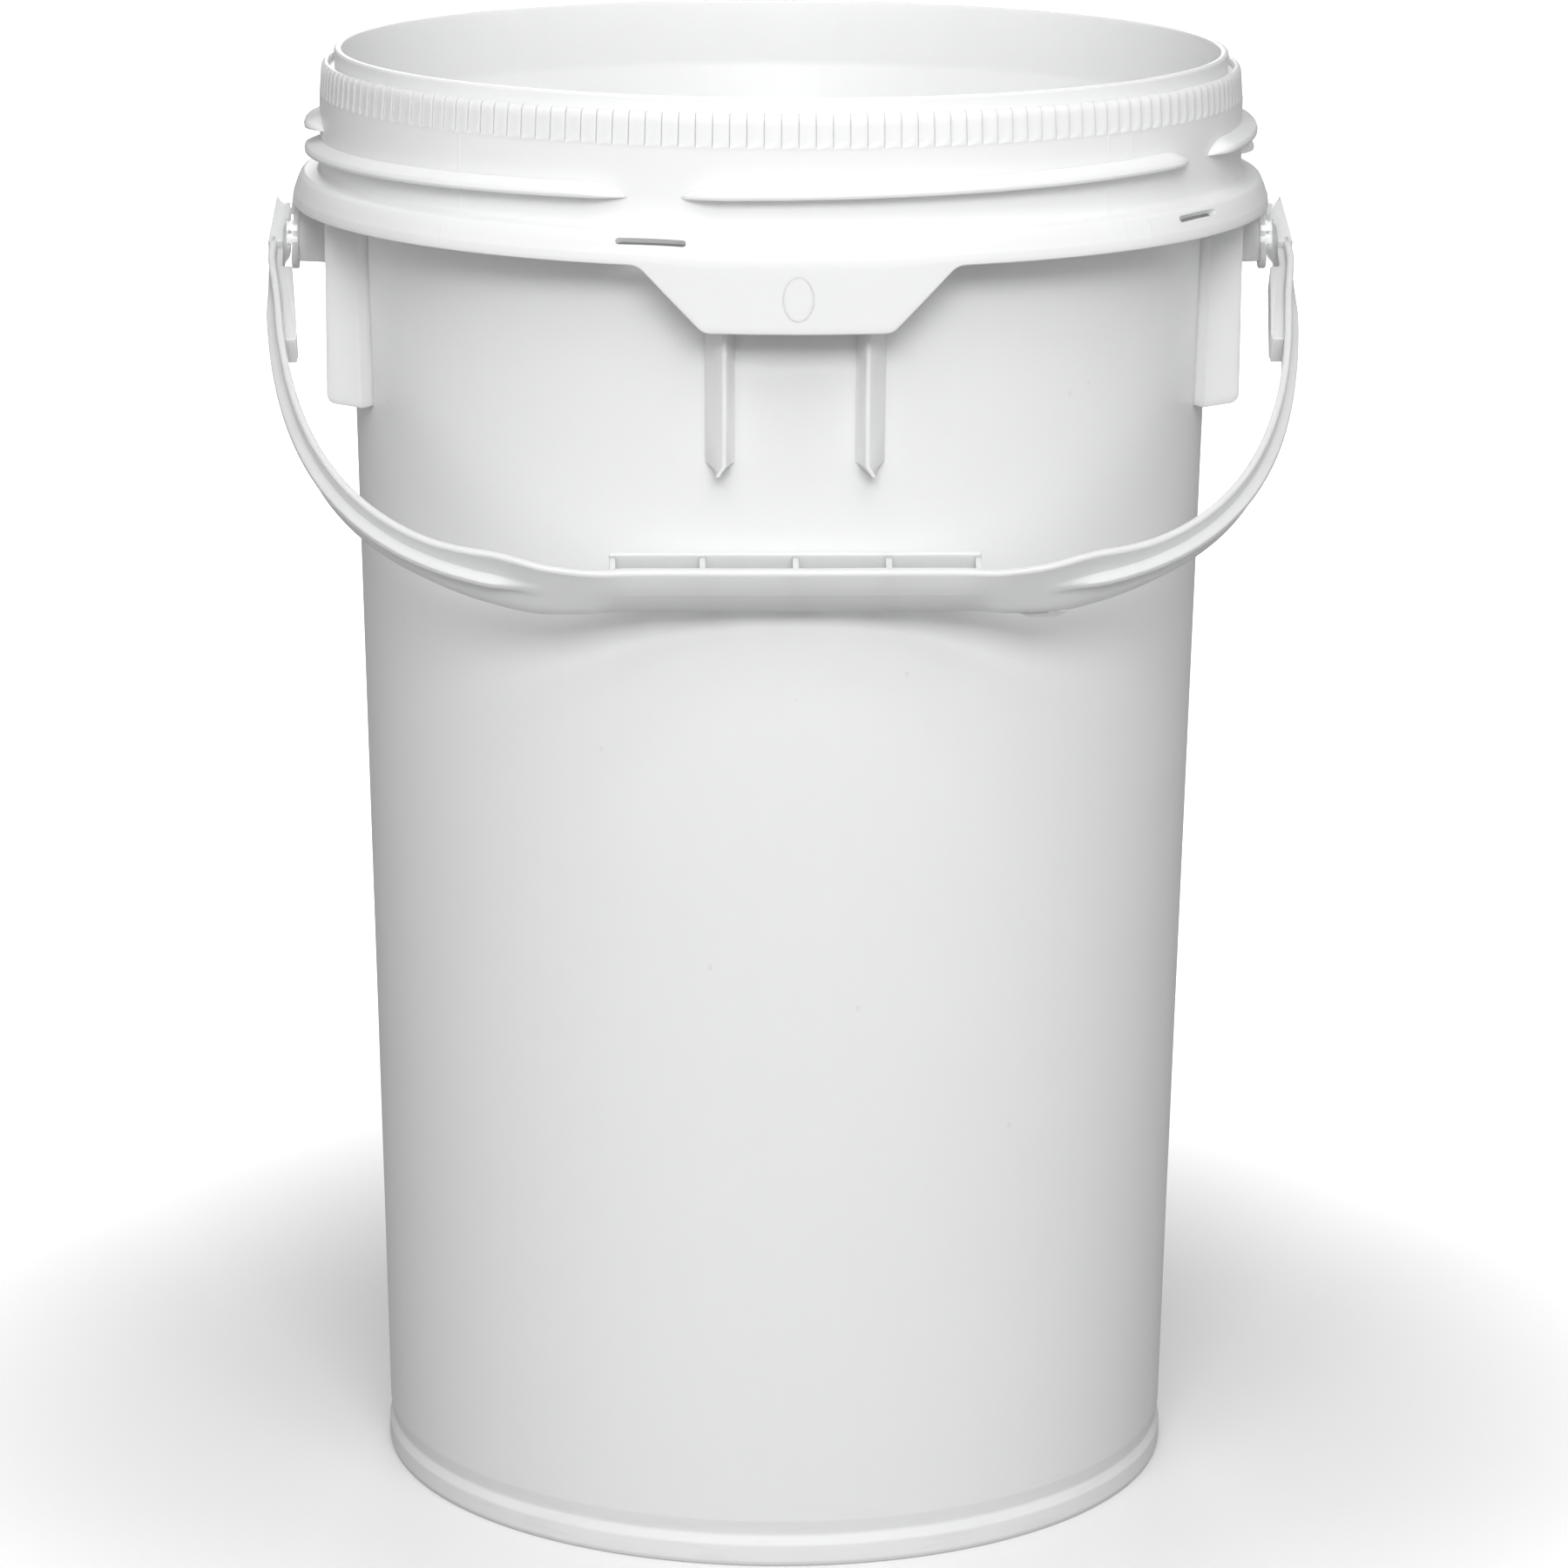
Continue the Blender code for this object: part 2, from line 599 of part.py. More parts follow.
def bail_arms(pivot):
    """Ribbed straps that curve from the eyes to the grip."""
    line = [ARM_START] + [bezier(ARM_BEND, i / ARM_STEPS) for i in range(ARM_STEPS + 1)]
    for sx, side in ((-1, "left"), (1, "right")):
        sections = []
        for i, (x, s) in enumerate(line):
            before = line[max(i - 1, 0)]
            after = line[min(i + 1, len(line) - 1)]
            along = Vector((after[0] - before[0], after[1] - before[1])).normalized()
            inward = Vector((-along.y, along.x))
            outline = arm_section(i / (len(line) - 1))
            sections.append([
                bail_point(sx * (x + inward.x * deep), s + inward.y * deep, w) for deep, w in outline
            ])
        make_solid(f"bail_arm_{side}", *loft(sections), **bail_look(pivot))


def stop_lugs(pivot):
    """Spacer lugs inside the arms that fill the space beside the neck when the bail is up."""
    low_w, high_w = LUG_W
    start, end = LUG_S
    for sx, side in ((-1, "left"), (1, "right")):
        outline = [(LUG_OUT_X[0], start), (LUG_IN_X[0], start)]
        outline += arc((LUG_IN_X[1] + LUG_CORNER, end - LUG_CORNER), LUG_CORNER, 180.0, 90.0, 3)
        outline.append((LUG_OUT_X[1], end))
        prism(
            f"stop_lug_{side}", outline,
            lambda u, v, depth, sx=sx: bail_point(sx * u, v, depth), low_w, high_w, **bail_look(pivot),
        )


def grip(pivot):
    """Crowned strap in front, upright flange behind, and the ribs that tie them."""
    sections = []
    for i in range(GRIP_COLUMNS + 1):
        x = GRIP_HALF * (2 * i / GRIP_COLUMNS - 1)
        crest = GRIP_S - GRIP_BOW * (x / GRIP_HALF) ** 2
        front = []
        for j in range(GRIP_ROWS + 1):
            across = 2 * j / GRIP_ROWS - 1
            front.append((crest - GRIP_CROWN * across ** 2, GRIP_HALF_W * across))
        back = [(s - GRIP_WEB, w) for s, w in reversed(front)]
        sections.append([bail_point(x, s, w) for s, w in front + back])
    make_solid("grip_strap", *loft(sections), **bail_look(pivot))

    inner = FLANGE_S - FLANGE_WALL
    outline = [
        (FLANGE_S, FLANGE_LOW_W), (FLANGE_S, FLANGE_TOP_W),
        (inner, FLANGE_TOP_W), (inner, FLANGE_LOW_W),
    ]
    flange = prism(
        "grip_flange", outline, lambda u, v, depth: bail_point(depth, u, v),
        -GRIP_HALF, GRIP_HALF, **bail_look(pivot),
    )
    edge = flange.modifiers.new("edges", "BEVEL")
    edge.width = FLANGE_EDGE * MM
    edge.segments = 1

    for number, x in enumerate(GRIP_RIBS):
        bow = GRIP_BOW * (x / GRIP_HALF) ** 2
        rib_front = GRIP_S - bow - GRIP_CROWN - GRIP_WEB - GAP
        outline = [
            (FLANGE_S + GAP, FLANGE_LOW_W), (rib_front, FLANGE_LOW_W), (rib_front, GRIP_RIB_FRONT_W),
            (FLANGE_S + GAP, GRIP_RIB_REAR_W),
        ]
        prism(
            f"grip_rib_{number + 1}", outline, lambda u, v, depth: bail_point(depth, u, v),
            x - GRIP_RIB_THICK / 2, x + GRIP_RIB_THICK / 2, **bail_look(pivot),
        )


def build():
    clear_scene()
    pail_wall()
    base()
    ratchet_ring()
    neck()
    threads()
    collar()
    front_tab()
    tab_ribs()
    side_plates()
    ears()
    snap_pins()
    pivot = bail_pivot()
    bail_eyes(pivot)
    bail_arms(pivot)
    stop_lugs(pivot)
    grip(pivot)


build()
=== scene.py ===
"""The looks of a plastic fermenting bucket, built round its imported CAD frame.

The real thing is two mouldings in white polyethylene, the pail and its bail. Each piece here is the
fine version of the CAD nodes that it stands for, in the same place. Sizes are in millimetres and are
turned into metres when a mesh is made. An angle round the pail is in degrees from the front (-Y),
counted towards +X.
"""
import json
from math import acos, asin, copysign, cos, degrees, exp, pi, radians, sin, sqrt, tan

import bmesh
import bpy
import numpy as np
from mathutils import Matrix, Vector


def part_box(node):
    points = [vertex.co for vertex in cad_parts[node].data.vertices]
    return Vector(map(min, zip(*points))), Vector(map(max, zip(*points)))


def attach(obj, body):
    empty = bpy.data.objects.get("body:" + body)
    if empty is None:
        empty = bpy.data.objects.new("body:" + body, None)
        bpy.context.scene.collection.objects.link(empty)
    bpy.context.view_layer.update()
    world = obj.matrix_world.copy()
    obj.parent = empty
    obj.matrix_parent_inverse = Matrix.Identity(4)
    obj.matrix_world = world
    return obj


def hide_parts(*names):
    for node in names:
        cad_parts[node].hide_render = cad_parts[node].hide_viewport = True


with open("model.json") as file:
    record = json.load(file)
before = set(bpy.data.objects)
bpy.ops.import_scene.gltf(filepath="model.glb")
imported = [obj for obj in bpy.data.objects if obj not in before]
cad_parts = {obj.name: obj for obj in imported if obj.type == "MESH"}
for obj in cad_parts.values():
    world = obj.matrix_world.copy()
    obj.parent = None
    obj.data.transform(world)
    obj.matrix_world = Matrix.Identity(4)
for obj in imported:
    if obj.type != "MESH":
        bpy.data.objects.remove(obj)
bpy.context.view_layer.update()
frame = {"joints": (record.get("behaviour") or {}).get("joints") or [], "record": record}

MM = 0.001


def span(node):
    """Lowest and highest corner of a CAD node, in millimetres."""
    low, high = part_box(node)
    return low / MM, high / MM


# ---------------- sizes from the frame

HEIGHT = span("pail_wall")[1].z
RIM_R = span("pail_wall")[1].x
WALL_LOW = span("pail_wall")[0].z
FOOT_R = span("foot_ring")[1].x
FLOOR_LOW = span("pail_floor")[0].z
FLOOR_HIGH = span("pail_floor")[1].z
BAND_LOW = span("ratchet_ring")[0].z
BAND_TOP = span("ratchet_ring")[1].z
TIP_R = span("ratchet_ring")[1].x
NECK_R = span("neck_skirt")[1].x
COLLAR_R = span("collar_flange")[1].x
COLLAR_TOP = span("collar_flange")[1].z
COLLAR_LOW = span("collar_flange")[0].z
TAB_R = -span("front_tab")[0].y
TAB_LOW = span("front_tab")[0].z
RIB_LOW = span("tab_rib_right")[0].z
PLATE = span("side_plate_right_front")
PLATE_LOW = PLATE[0].z
PLATE_X = PLATE[1].x
LEAF_LOW, LEAF_HIGH = span("ear_leaf_right")
PIN_TIP_X = span("pin_right_upper")[1].x
HINGE_Z = frame["joints"][0]["pos_m"][2] / MM
GRIP_AXIS = Vector(next(m["axis"] for m in frame["record"]["mounts"] if m["name"] == "carrying_grip"))
GRIP_HALF = span("grip_flange")[1].x

# ---------------- driving sizes

WALL = 2.4  # wall thickness
SHOULDER = (443.0, 143.5)  # height and radius where the wall starts to flare
FLARE = (461.0, 147.0)  # where the flare ends
BELLY = (90.0, 135.5)
WALL_FOOT_R = 134.0
RIM_ROUND = 0.9
GROOVE = (10.6, 133.3)  # soft groove over the foot band
FOOT_THICK = 3.0
GATE_R = 3.2  # round mark under the floor, where the plastic was let in
GATE_DROP = 1.3
AXIS_R = 1.2  # the turned skin starts and ends this close to the axis
UNDER_RING = ((14.0, 0.0), (12.0, 0.8), (9.0, 0.8), (7.0, 0.0))  # under the floor: (in, down)
COLUMN_STEP = 0.75  # degrees between the columns round the pail

TEETH = 180
# a tooth from its crest round to the next: (share of the pitch, how deep it is cut there)
TOOTH = (
    (0.0, 0.0), (0.02, 0.06), (0.035, 0.5), (0.055, 0.5), (0.075, 0.36), (0.13, 0.38),
    (0.3, 0.35), (0.5, 0.25), (0.68, 0.12), (0.84, 0.02), (0.93, 0.0),
)
TOOTH_OVER = 0.2  # the crests stand this far outside the CAD's
GROOVE_AT = 0.042  # middle and half width, as shares of the pitch
GROOVE_HALF = 0.05
BAND_DRAFT = 0.8  # the band is slimmer by this much at its top
BAND_ROOT = 0.6  # how far inside the rim the band starts
BAND_STEP = 0.4  # a small step under its root
BAND_ROWS = (0.35, 0.7, 1.1, 1.6, 2.1, 2.7, 3.3, 4.0, 4.7, 5.5, 7.5)  # heights over its lower edge
BAND_TOP_ROW = 1.7  # the last of them, down from its top
BAND_CROWN = ((1.2, 0.08), (0.75, 0.25), (0.35, 0.55), (0.08, 1.0))  # rounded top: (down, in)
CROWN_FADE = 0.4  # share of the cut lost in the rounding
SCOOP_FOOT = (0.5, 4.4, 1.1)  # height of a scoop's lower end, extra at its shallow side, and its fade
SCOOP_SLANT = (0.12, 1.4)  # where the slant starts, and its power
SCOOP_LEAD = 0.4
LEDGE_WAVE = 0.5  # how much the teeth show on the ledge
LEDGE_DEEP = 2.1  # width of the hollow lip's top; a channel lies behind it
CHANNEL_DEEP = 2.2
CHANNEL_DRAFT = 0.2
LIP_ROUND = (0.3, 0.35)  # bevel on the ledge's inner edge: across and down

NECK_WALL = 2.5
COLLAR_BEND_TOP = (2.9, 1.4)  # in from the collar's edge and down from its top
COLLAR_BEND_ROUND = 2.4
COLLAR_BEND_LOW = (0.35, 7.2)
COLLAR_WALL = 2.4
NECK_FILLET = 1.5
NECK_OVERLAP = 0.6  # the neck runs up this far inside the band
SKIRT_EDGE = 0.5
SKIRT_ROWS = 12
SKIRT_TURNS = ((30.0, 0), (60.0, 0), (90.0, 0), (90.0, 1), (45.0, 1), (0.0, 1))  # (degrees, inside)
SKIRT_BEND = 2.0  # height of the lower bend, over the straight skirt
TAB_WALL = 2.2
TAB_HALF_TOP = 50.0  # half width along the arc at the collar
TAB_HALF_LOW = 29.4
TAB_FILLETS = (7.0, 5.0)
TAB_BESIDE = 30.0  # length of plain edge drawn beside the tab
TAB_BLEND = 20.0  # depth over which the skirt turns into the tab
TAB_COLUMNS = (98, 0.2)  # finer columns each side, and degrees between them
SEAMS = (-84.0, -80.5, -43.2, 40.2, 44.2, 81.0, 84.5, 136.8, 220.2)  # mould parting lines
SEAM_PROUD = 0.10
SEAM_HALF = 0.14  # degrees
COLUMN_GAP = 0.04  # closer columns are one
SLOT_ANGLES = (-16.4, 54.0, 163.6, 234.0)
SLOT_SIZE = (22.5, 2.0)
SLOT_CORNER = 1.0
SLOT_TILT = 36.0
SLOT_CENTRE = (159.7, 439.6)  # radius and height
SLOT_REACH = 5.0

RING_DOWN = 59.75  # middle of the ring mark, down from the rim
RING_HALF = (4.65, 6.7)  # half width and half height
RING_BEAD = (0.28, 0.14)  # half width and height of its bead
RING_LIFT = 0.05
RING_STEPS = (64, 8)  # round the ring, and round the bead

THREAD_CREST_R = 157.7
THREAD_FRONT_Z = 455.25
THREAD_HALF = 2.25
THREAD_RISE = 0.045  # height per degree
THREAD_RUNS = ((-95.0, -20.0), (-13.5, 56.0), (61.8, 100.0))
THREAD_TAPER = 5.0  # degrees over which an end runs to its point
THREAD_STEP = 0.8
# across a ridge: (share of its height out, share of its half width up, rounding)
THREAD_LINE = (
    (-0.35, 1.25), (-0.02, 1.08, 0.5), (0.45, 0.62, 0.8), (0.92, 0.1, 0.5), (1.0, -0.5, 0.4),
    (0.97, -0.98, 0.12), (0.80, -1.0, 0.1), (-0.02, -1.0, 0.05), (-0.35, -1.02),
)
THREAD_SUNK = 0.25  # root inside the neck
THREAD_ROOT = 0.9  # depth of the outline's part inside
THREAD_POINT = 0.8  # power of the curve at an end
THREAD_THIN = 0.12  # share of the width left at an end

RIB_ANGLE = 9.5
RIB_HALF = 4.15
RIB_PROUD = 8.0
RIB_APEX = 2.6  # the crest sits this far towards the front centre line
RIB_LEVELS = (437.0, 420.0, 400.0, 385.0)
RIB_POINT = 3.4
RIB_TIP = 0.16  # share of the width that the pointed foot keeps
RIB_SUNK = 1.0
RIB_CLEAR = 0.2  # gap between a rib and the tab
RIB_CREST = (0.65, 0.45)  # half width of the crest, and its rounding
RIB_FLANK = ((0.7, 0.0), (0.5, 1.05, 0.5), (-0.1, 1.9, 0.6))  # filleted root: (wider, up, rounding)

PLATE_FOLD_X = 138.1  # where the outer flat folds into the thicker root
PLATE_FOLD_DEEP = 2.4
PLATE_FOLD_STEPS = (-3.4, -1.2, -0.3, 0.0, 0.3, 2.0)  # stations across the fold
PLATE_ROOT_X = 133.0
PLATE_TOP = 440.9
PLATE_CORNER = 3.5
PLATE_CHEVRON = (1.3, 1.6)  # rise of the lower edge, outwards and to the wall

WEB_THICK = 2.1
WEB_TOP = 441.0
WEB_LOW = (410.7, 411.5)  # at the wall and at the leaf
WEB_IN_X = 142.5
WEB_STEP_X = 158.9  # the webs are stepped back inside the collar's skirt
WEB_STEP_DOWN = 0.3
WEB_SUNK = (0.9, 0.5)  # reach into the leaf at the foot and at the step
WEB_TRIM = 0.15  # gap to the CAD's faces
LEAF_FOOT = 0.5  # the leaf is thinner by this at its foot
LEAF_TIP = (427.0, 433.4)  # its point outside the skirt: from and to these heights
LEAF_TIP_WALL = 1.2
LEAF_TIP_CORNER = 1.5
LEAF_TIP_IN = 0.3
LEAF_UP = 4.0  # how far it reaches up inside the skirt
LEAF_GAP = 0.4  # to the skirt's inside
LEAF_BACK = 0.5  # its outside, in from the collar's edge

PIN_NECK_R = 3.55
PIN_HEAD_R = 4.35
PIN_SPLIT = 2.0
PIN_HEAD_X = 164.35
PIN_ROOT_X = 160.4
PIN_ROOT_R = PIN_NECK_R + 0.55
PIN_TIP = ((-0.5, 3.55), (-0.12, 3.2), (0.0, 2.8))  # rounded tip: (from its end, radius)
PIN_BARB = ((-0.08, -0.2), (0.1, 0.0), (0.45, 0.0), (0.8, -0.22))  # (out from the head, off its radius)

# The bail in its own plane: x sideways, s from the hinge out to the grip, w across
EYE_IN_X = 163.0
EYE_OUT_X = (167.5, 169.5)  # outer face at the end and at the arm
EYE_S = (-10.5, 14.5)
EYE_STEPS = 20
EYE_INNER_STEPS = 8  # points along the plain part of its inner face
EYE_PLAIN_FROM = 3.0  # which ends this far from the eye's end
EYE_HALF_W = 8.0
EYE_RAMP = (-10.3, 0.6)  # lead-in ramp, from the outer corner to the inner face
EYE_RAMP_W = (3.6, 7.6)  # it deepens between these places across the eye
EYE_FADE = (2.0, 164.7)  # past here the inner face meets the arm's
EYE_FADE_LONG = 5.0
EYE_NOTCH = 1.5  # between the two round layers at its end
EYE_POCKET_R = 4.75
EYE_SKIN_X = 166.5
EYE_LAYER_X = 164.1
EYE_SLOT_HALF = 4.9
EYE_SLOT_X = 164.0  # how far out the open side reaches
EYE_SLOT_REACH = 16.0
EYE_SLOT_OVER = 2.5  # the slot's cutter starts inside the inner face
EYE_SLOT_TURN = 36.0  # the open side faces up and forward at rest
ARM_START = (169.3, 12.3)
ARM_BEND = ((170.2, 22.0), (168.0, 121.0), (140.0, 179.9), (58.3, 179.9))
ARM_STEPS = 90
ARM_SHARES = (0.02, 0.037)  # shares at the middle and end of its straight start
ARM_HALF_W = 8.0
ARM_SWELL = (0.86, 0.1, 2.6)  # share where the arm is widest, spread and extra half width
ARM_DEEP = 5.0  # inner face to ridge crest
ARM_WEB = 2.2
ARM_FLAT_DEEP = 2.8
RIDGE_RISE = 0.12  # share over which the ridge rises at the eye
RIDGE_FALL = (0.93, 0.1)  # share where it has died out, and over how much
RIDGE_FOOT = 2.5
RIDGE_CREST = 0.8
RIDGE_ROWS = (2.0, 1.4)  # extra rows between its foot and its crest
RIDGE_BESIDE = 0.6
GRIP_STEPS = 60
GRIP_S = 179.9
GRIP_HALF_W = 8.4
GRIP_WEB = 2.4
GRIP_CROWN = 1.6
GRIP_BOW = 0.8
GRIP_BLEND = (66.0, 52.0)  # the arm turns into the grip between these places
STRAP_EDGE = 0.6
STRAP_LIP = 0.22  # raised line along the upper edge
STRAP_LIP_ROWS = (1.6, 1.15, 0.8)  # rows across it, in from the edge
STRAP_LIP_HALF = 0.4
STRAP_SEAM = 0.12  # parting line along the middle of the grip
STRAP_SEAM_HALF = 0.3
FLANGE_S = (168.3, 170.1)
FLANGE_W = (-6.6, 8.4)
GRIP_RIBS = (-57.0, -29.0, 0.0, 29.0, 57.0)
GRIP_RIB_THICK = 2.0
GRIP_RIB_TOP = (7.4, 6.9)  # upper edge at the flange and at the strap
GATE_LUMP = (70.0, 85.0)  # where the runner was trimmed off the lower edge
GATE_STEPS = 12
GATE_RUN_IN = 2.5  # steps over which it rises and falls
GATE_HALF = 0.8
GATE_PROUD = 1.5
GATE_IN = 1.6  # its middle, inside the strap's crest line
GATE_SUNK = 1.0
LUG_S = (24.0, 61.5)
LUG_SHANK = (11.5, 164.5)  # a thinner shank runs up to the eye
LUG_IN_X = (161.3, 158.3)
LUG_OUT_X = (166.4, 164.6)
LUG_HALF_W = 5.0
LUG_STEP = (59.3, 0.3)  # a small step: place and height

SMOOTH_ANGLE = 38.0  # sharper edges stay sharp, in degrees
SOFT_ANGLE = 28.0  # sharper edges are rounded by soften()


# ---------------- mesh tools

def polar(radius, angle, z):
    """A point at an angle round the pail."""
    turn = radians(angle)
    return (radius * sin(turn), -radius * cos(turn), z)


def smooth(share):
    """A share from 0 to 1 that starts and stops gently."""
    share = min(1.0, max(0.0, share))
    return share * share * (3.0 - 2.0 * share)


def rounded(corners, steps=4, closed=False):
    """A polyline in which each corner (a, b, radius) becomes an arc, and (a, b) stays a point."""
    line = []
    count = len(corners)
    for i, corner in enumerate(corners):
        here = np.array(corner[:2], float)
        inside = closed or 0 < i < count - 1
        if len(corner) < 3 or not inside:
            line.append(tuple(here))
            continue
        before = np.array(corners[i - 1][:2], float) - here
        after = np.array(corners[(i + 1) % count][:2], float) - here
        room = 0.49 * min(np.linalg.norm(before), np.linalg.norm(after))
        before /= np.linalg.norm(before)
        after /= np.linalg.norm(after)
        half = acos(max(-1.0, min(1.0, float(before @ after)))) / 2
        reach = min(corner[2] / tan(half), room)
        bisector = (before + after) / np.linalg.norm(before + after)
        middle = here + bisector * reach / cos(half)
        spoke = here + before * reach - middle
        side = copysign(1.0, before[1] * after[0] - before[0] * after[1])
        for k in range(steps + 1):
            turn = side * (pi - 2 * half) * k / steps
            line.append((
                middle[0] + spoke[0] * cos(turn) - spoke[1] * sin(turn),
                middle[1] + spoke[0] * sin(turn) + spoke[1] * cos(turn),
            ))
    return line


def arc(centre, radius, start, end, steps):
    """Points of a circular arc in a plane, angles in degrees."""
    turns = [radians(start + (end - start) * i / steps) for i in range(steps + 1)]
    return [(centre[0] + radius * cos(t), centre[1] + radius * sin(t)) for t in turns]


def loft(sections, closed=False, ring=True):
    """Points and faces through equal sections. closed joins the last to the first, and ring joins
    each section's own ends. A way that stays open gets a cap at both ends."""
    size = len(sections[0])
    count = len(sections)
    points = [point for section in sections for point in section]
    faces = []
    for i in range(count if closed else count - 1):
        a = i * size
        b = (i + 1) % count * size
        for j in range(size if ring else size - 1):
            k = (j + 1) % size
            faces.append((a + j, a + k, b + k, b + j))
    if not closed:
        faces.append(tuple(range(size)))
        faces.append(tuple((count - 1) * size + j for j in range(size)))
    if not ring:
        faces.append(tuple(i * size for i in range(count)))
        faces.append(tuple(i * size + size - 1 for i in range(count)))
    return points, faces


def make_object(name, points, faces, sharp=SMOOTH_ANGLE):
    """A mesh object from points in millimetres, faces turned outwards and shaded smooth."""
    mesh = bpy.data.meshes.new(name)
    mesh.from_pydata((np.array(points, float) * MM).tolist(), [], faces)
    work = bmesh.new()
    work.from_mesh(mesh)
    bmesh.ops.recalc_face_normals(work, faces=work.faces)
    work.to_mesh(mesh)
    work.free()
    mesh.shade_smooth()
    mesh.set_sharp_from_angle(angle=radians(sharp))
    made = bpy.data.objects.new(name, mesh)
    bpy.context.collection.objects.link(made)
    return made


def piece(made, body, look, nodes=()):
    """Give a mesh its material, put it on its body, and let it stand for CAD nodes."""
    material, slot = look
    made.data.materials.clear()
    made.data.materials.append(material)
    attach(made, body)
    if nodes:
        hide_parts(*nodes)
    return made


def prism(name, outline, place, low, high):
    """A flat outline given depth: place(u, v, depth) turns it into a point."""
    return make_object(name, *loft([[place(u, v, depth) for u, v in outline] for depth in (low, high)]))


def soften(made, width, segments=3):
    """Round the sharp edges, as a mould does."""
    bevel = made.modifiers.new("soft_edges", "BEVEL")
    bevel.width = width * MM
    bevel.segments = segments
    bevel.limit_method = "ANGLE"
    bevel.angle_limit = radians(SOFT_ANGLE)
    bevel.harden_normals = True
    return made


def settle(made):
    """Turn an object's modifiers into its own mesh."""
    graph = bpy.context.evaluated_depsgraph_get()
    old = made.data
    made.data = bpy.data.meshes.new_from_object(made.evaluated_get(graph))
    made.modifiers.clear()
    bpy.data.meshes.remove(old)
    return made


def carve(made, cutters):
    """Take solids away from a mesh, and drop them."""
    for cutter in cutters:
        cut = made.modifiers.new("cut", "BOOLEAN")
        cut.operation = "DIFFERENCE"
        cut.solver = "EXACT"
        cut.object = cutter
    settle(made)
    made.data.validate()
    for cutter in cutters:
        bpy.data.objects.remove(cutter, do_unlink=True)
    made.data.shade_smooth()
    made.data.set_sharp_from_angle(angle=radians(SMOOTH_ANGLE))
    return made


def wall_radius(z):
    """Outer radius of the pail wall at a height."""
    stations = ((WALL_LOW, WALL_FOOT_R), BELLY, SHOULDER, FLARE, (HEIGHT, RIM_R))
    return float(np.interp(z, [s[0] for s in stations], [s[1] for s in stations]))


# ---------------- materials

WHITE = ((0.90, 0.903, 0.905, 1.0), (0.886, 0.889, 0.892, 1.0))
WHITE_GLOSS = (0.32, 0.40)
NATURAL_GLOSS = (0.34, 0.46)
UPRIGHT_FLOW = (1.0, 1.0, 0.02)
BAIL_FLOW = (0.05, 1.0, 1.0)
WHITE_SOAK = (1.6, 0.35)
THIN_SOAK = (5.0, 0.9)
SPECK_COLOUR = (0.50, 0.49, 0.47, 1.0)
SPECK_SHARE = 0.15
SCUFF_COLOUR = (0.78, 0.77, 0.75, 1.0)
SCUFF_SHARE = 0.35
SCUFF_ROUGH = 0.22
# sharp outward edges are made paler, towards this colour
PALE_EDGE_COLOUR = (0.95, 0.95, 0.95, 1.0)
PALE_EDGE_SHARE = 0.6
# painted shade: the colour that the grooves between the ratchet teeth are darkened towards
GROOVE_SHADE_COLOUR = (0.30, 0.30, 0.30, 1.0)
GROOVE_CORE = 0.35  # share of a groove's width that is fully dark
CLOUD_SHARE = 0.65  # of the tone; the rest comes from flow lines


def add(tree, kind, inputs=None, **settings):
    """A shader node with its settings and unlinked inputs."""
    made = tree.nodes.new(kind)
    for key, value in settings.items():
        setattr(made, key, value)
    for key, value in (inputs or {}).items():
        made.inputs[key].default_value = value
    return made


def noise(tree, place, scale, stretch=(1.0, 1.0, 1.0), detail=3.0):
    """Noise in object space, stretched along an axis where a stretch is under 1."""
    mapping = add(tree, "ShaderNodeMapping", {"Scale": stretch})
    tree.links.new(place, mapping.inputs["Vector"])
    texture = add(tree, "ShaderNodeTexNoise", {"Scale": scale, "Detail": detail, "Roughness": 0.55})
    tree.links.new(mapping.outputs["Vector"], texture.inputs["Vector"])
    return texture.outputs["Fac"]


def ramp(tree, value, low, high, bottom, top):
    """Map a value's low to high range onto bottom to top, smoothly."""
    made = add(
        tree, "ShaderNodeMapRange",
        {"From Min": low, "From Max": high, "To Min": bottom, "To Max": top},
        interpolation_type="SMOOTHSTEP",
    )
    tree.links.new(value, made.inputs["Value"])
    return made.outputs["Result"]


def blend_colour(tree, share, first, second):
    """Mix two colours, or a colour socket and a colour, by a share."""
    made = add(tree, "ShaderNodeMix", data_type="RGBA")
    tree.links.new(share, made.inputs[0])
    for socket, colour in ((made.inputs[6], first), (made.inputs[7], second)):
        if isinstance(colour, tuple):
            socket.default_value = colour
        else:
            tree.links.new(colour, socket)
    return made.outputs[2]


def combine(tree, operation, first, second):
    """Arithmetic on two sockets, or on a socket and a number."""
    made = add(tree, "ShaderNodeMath", operation=operation)
    for socket, value in ((made.inputs[0], first), (made.inputs[1], second)):
        if isinstance(value, float):
            socket.default_value = value
        else:
            tree.links.new(value, socket)
    return made.outputs["Value"]


def bump(tree, height, strength, distance, under=None):
    """Bump of a height in millimetres, on top of the bump under it."""
    made = add(tree, "ShaderNodeBump", {"Strength": strength, "Distance": distance * MM})
    tree.links.new(height, made.inputs["Height"])
    if under is not None:
        tree.links.new(under, made.inputs["Normal"])
    return made.outputs["Normal"]


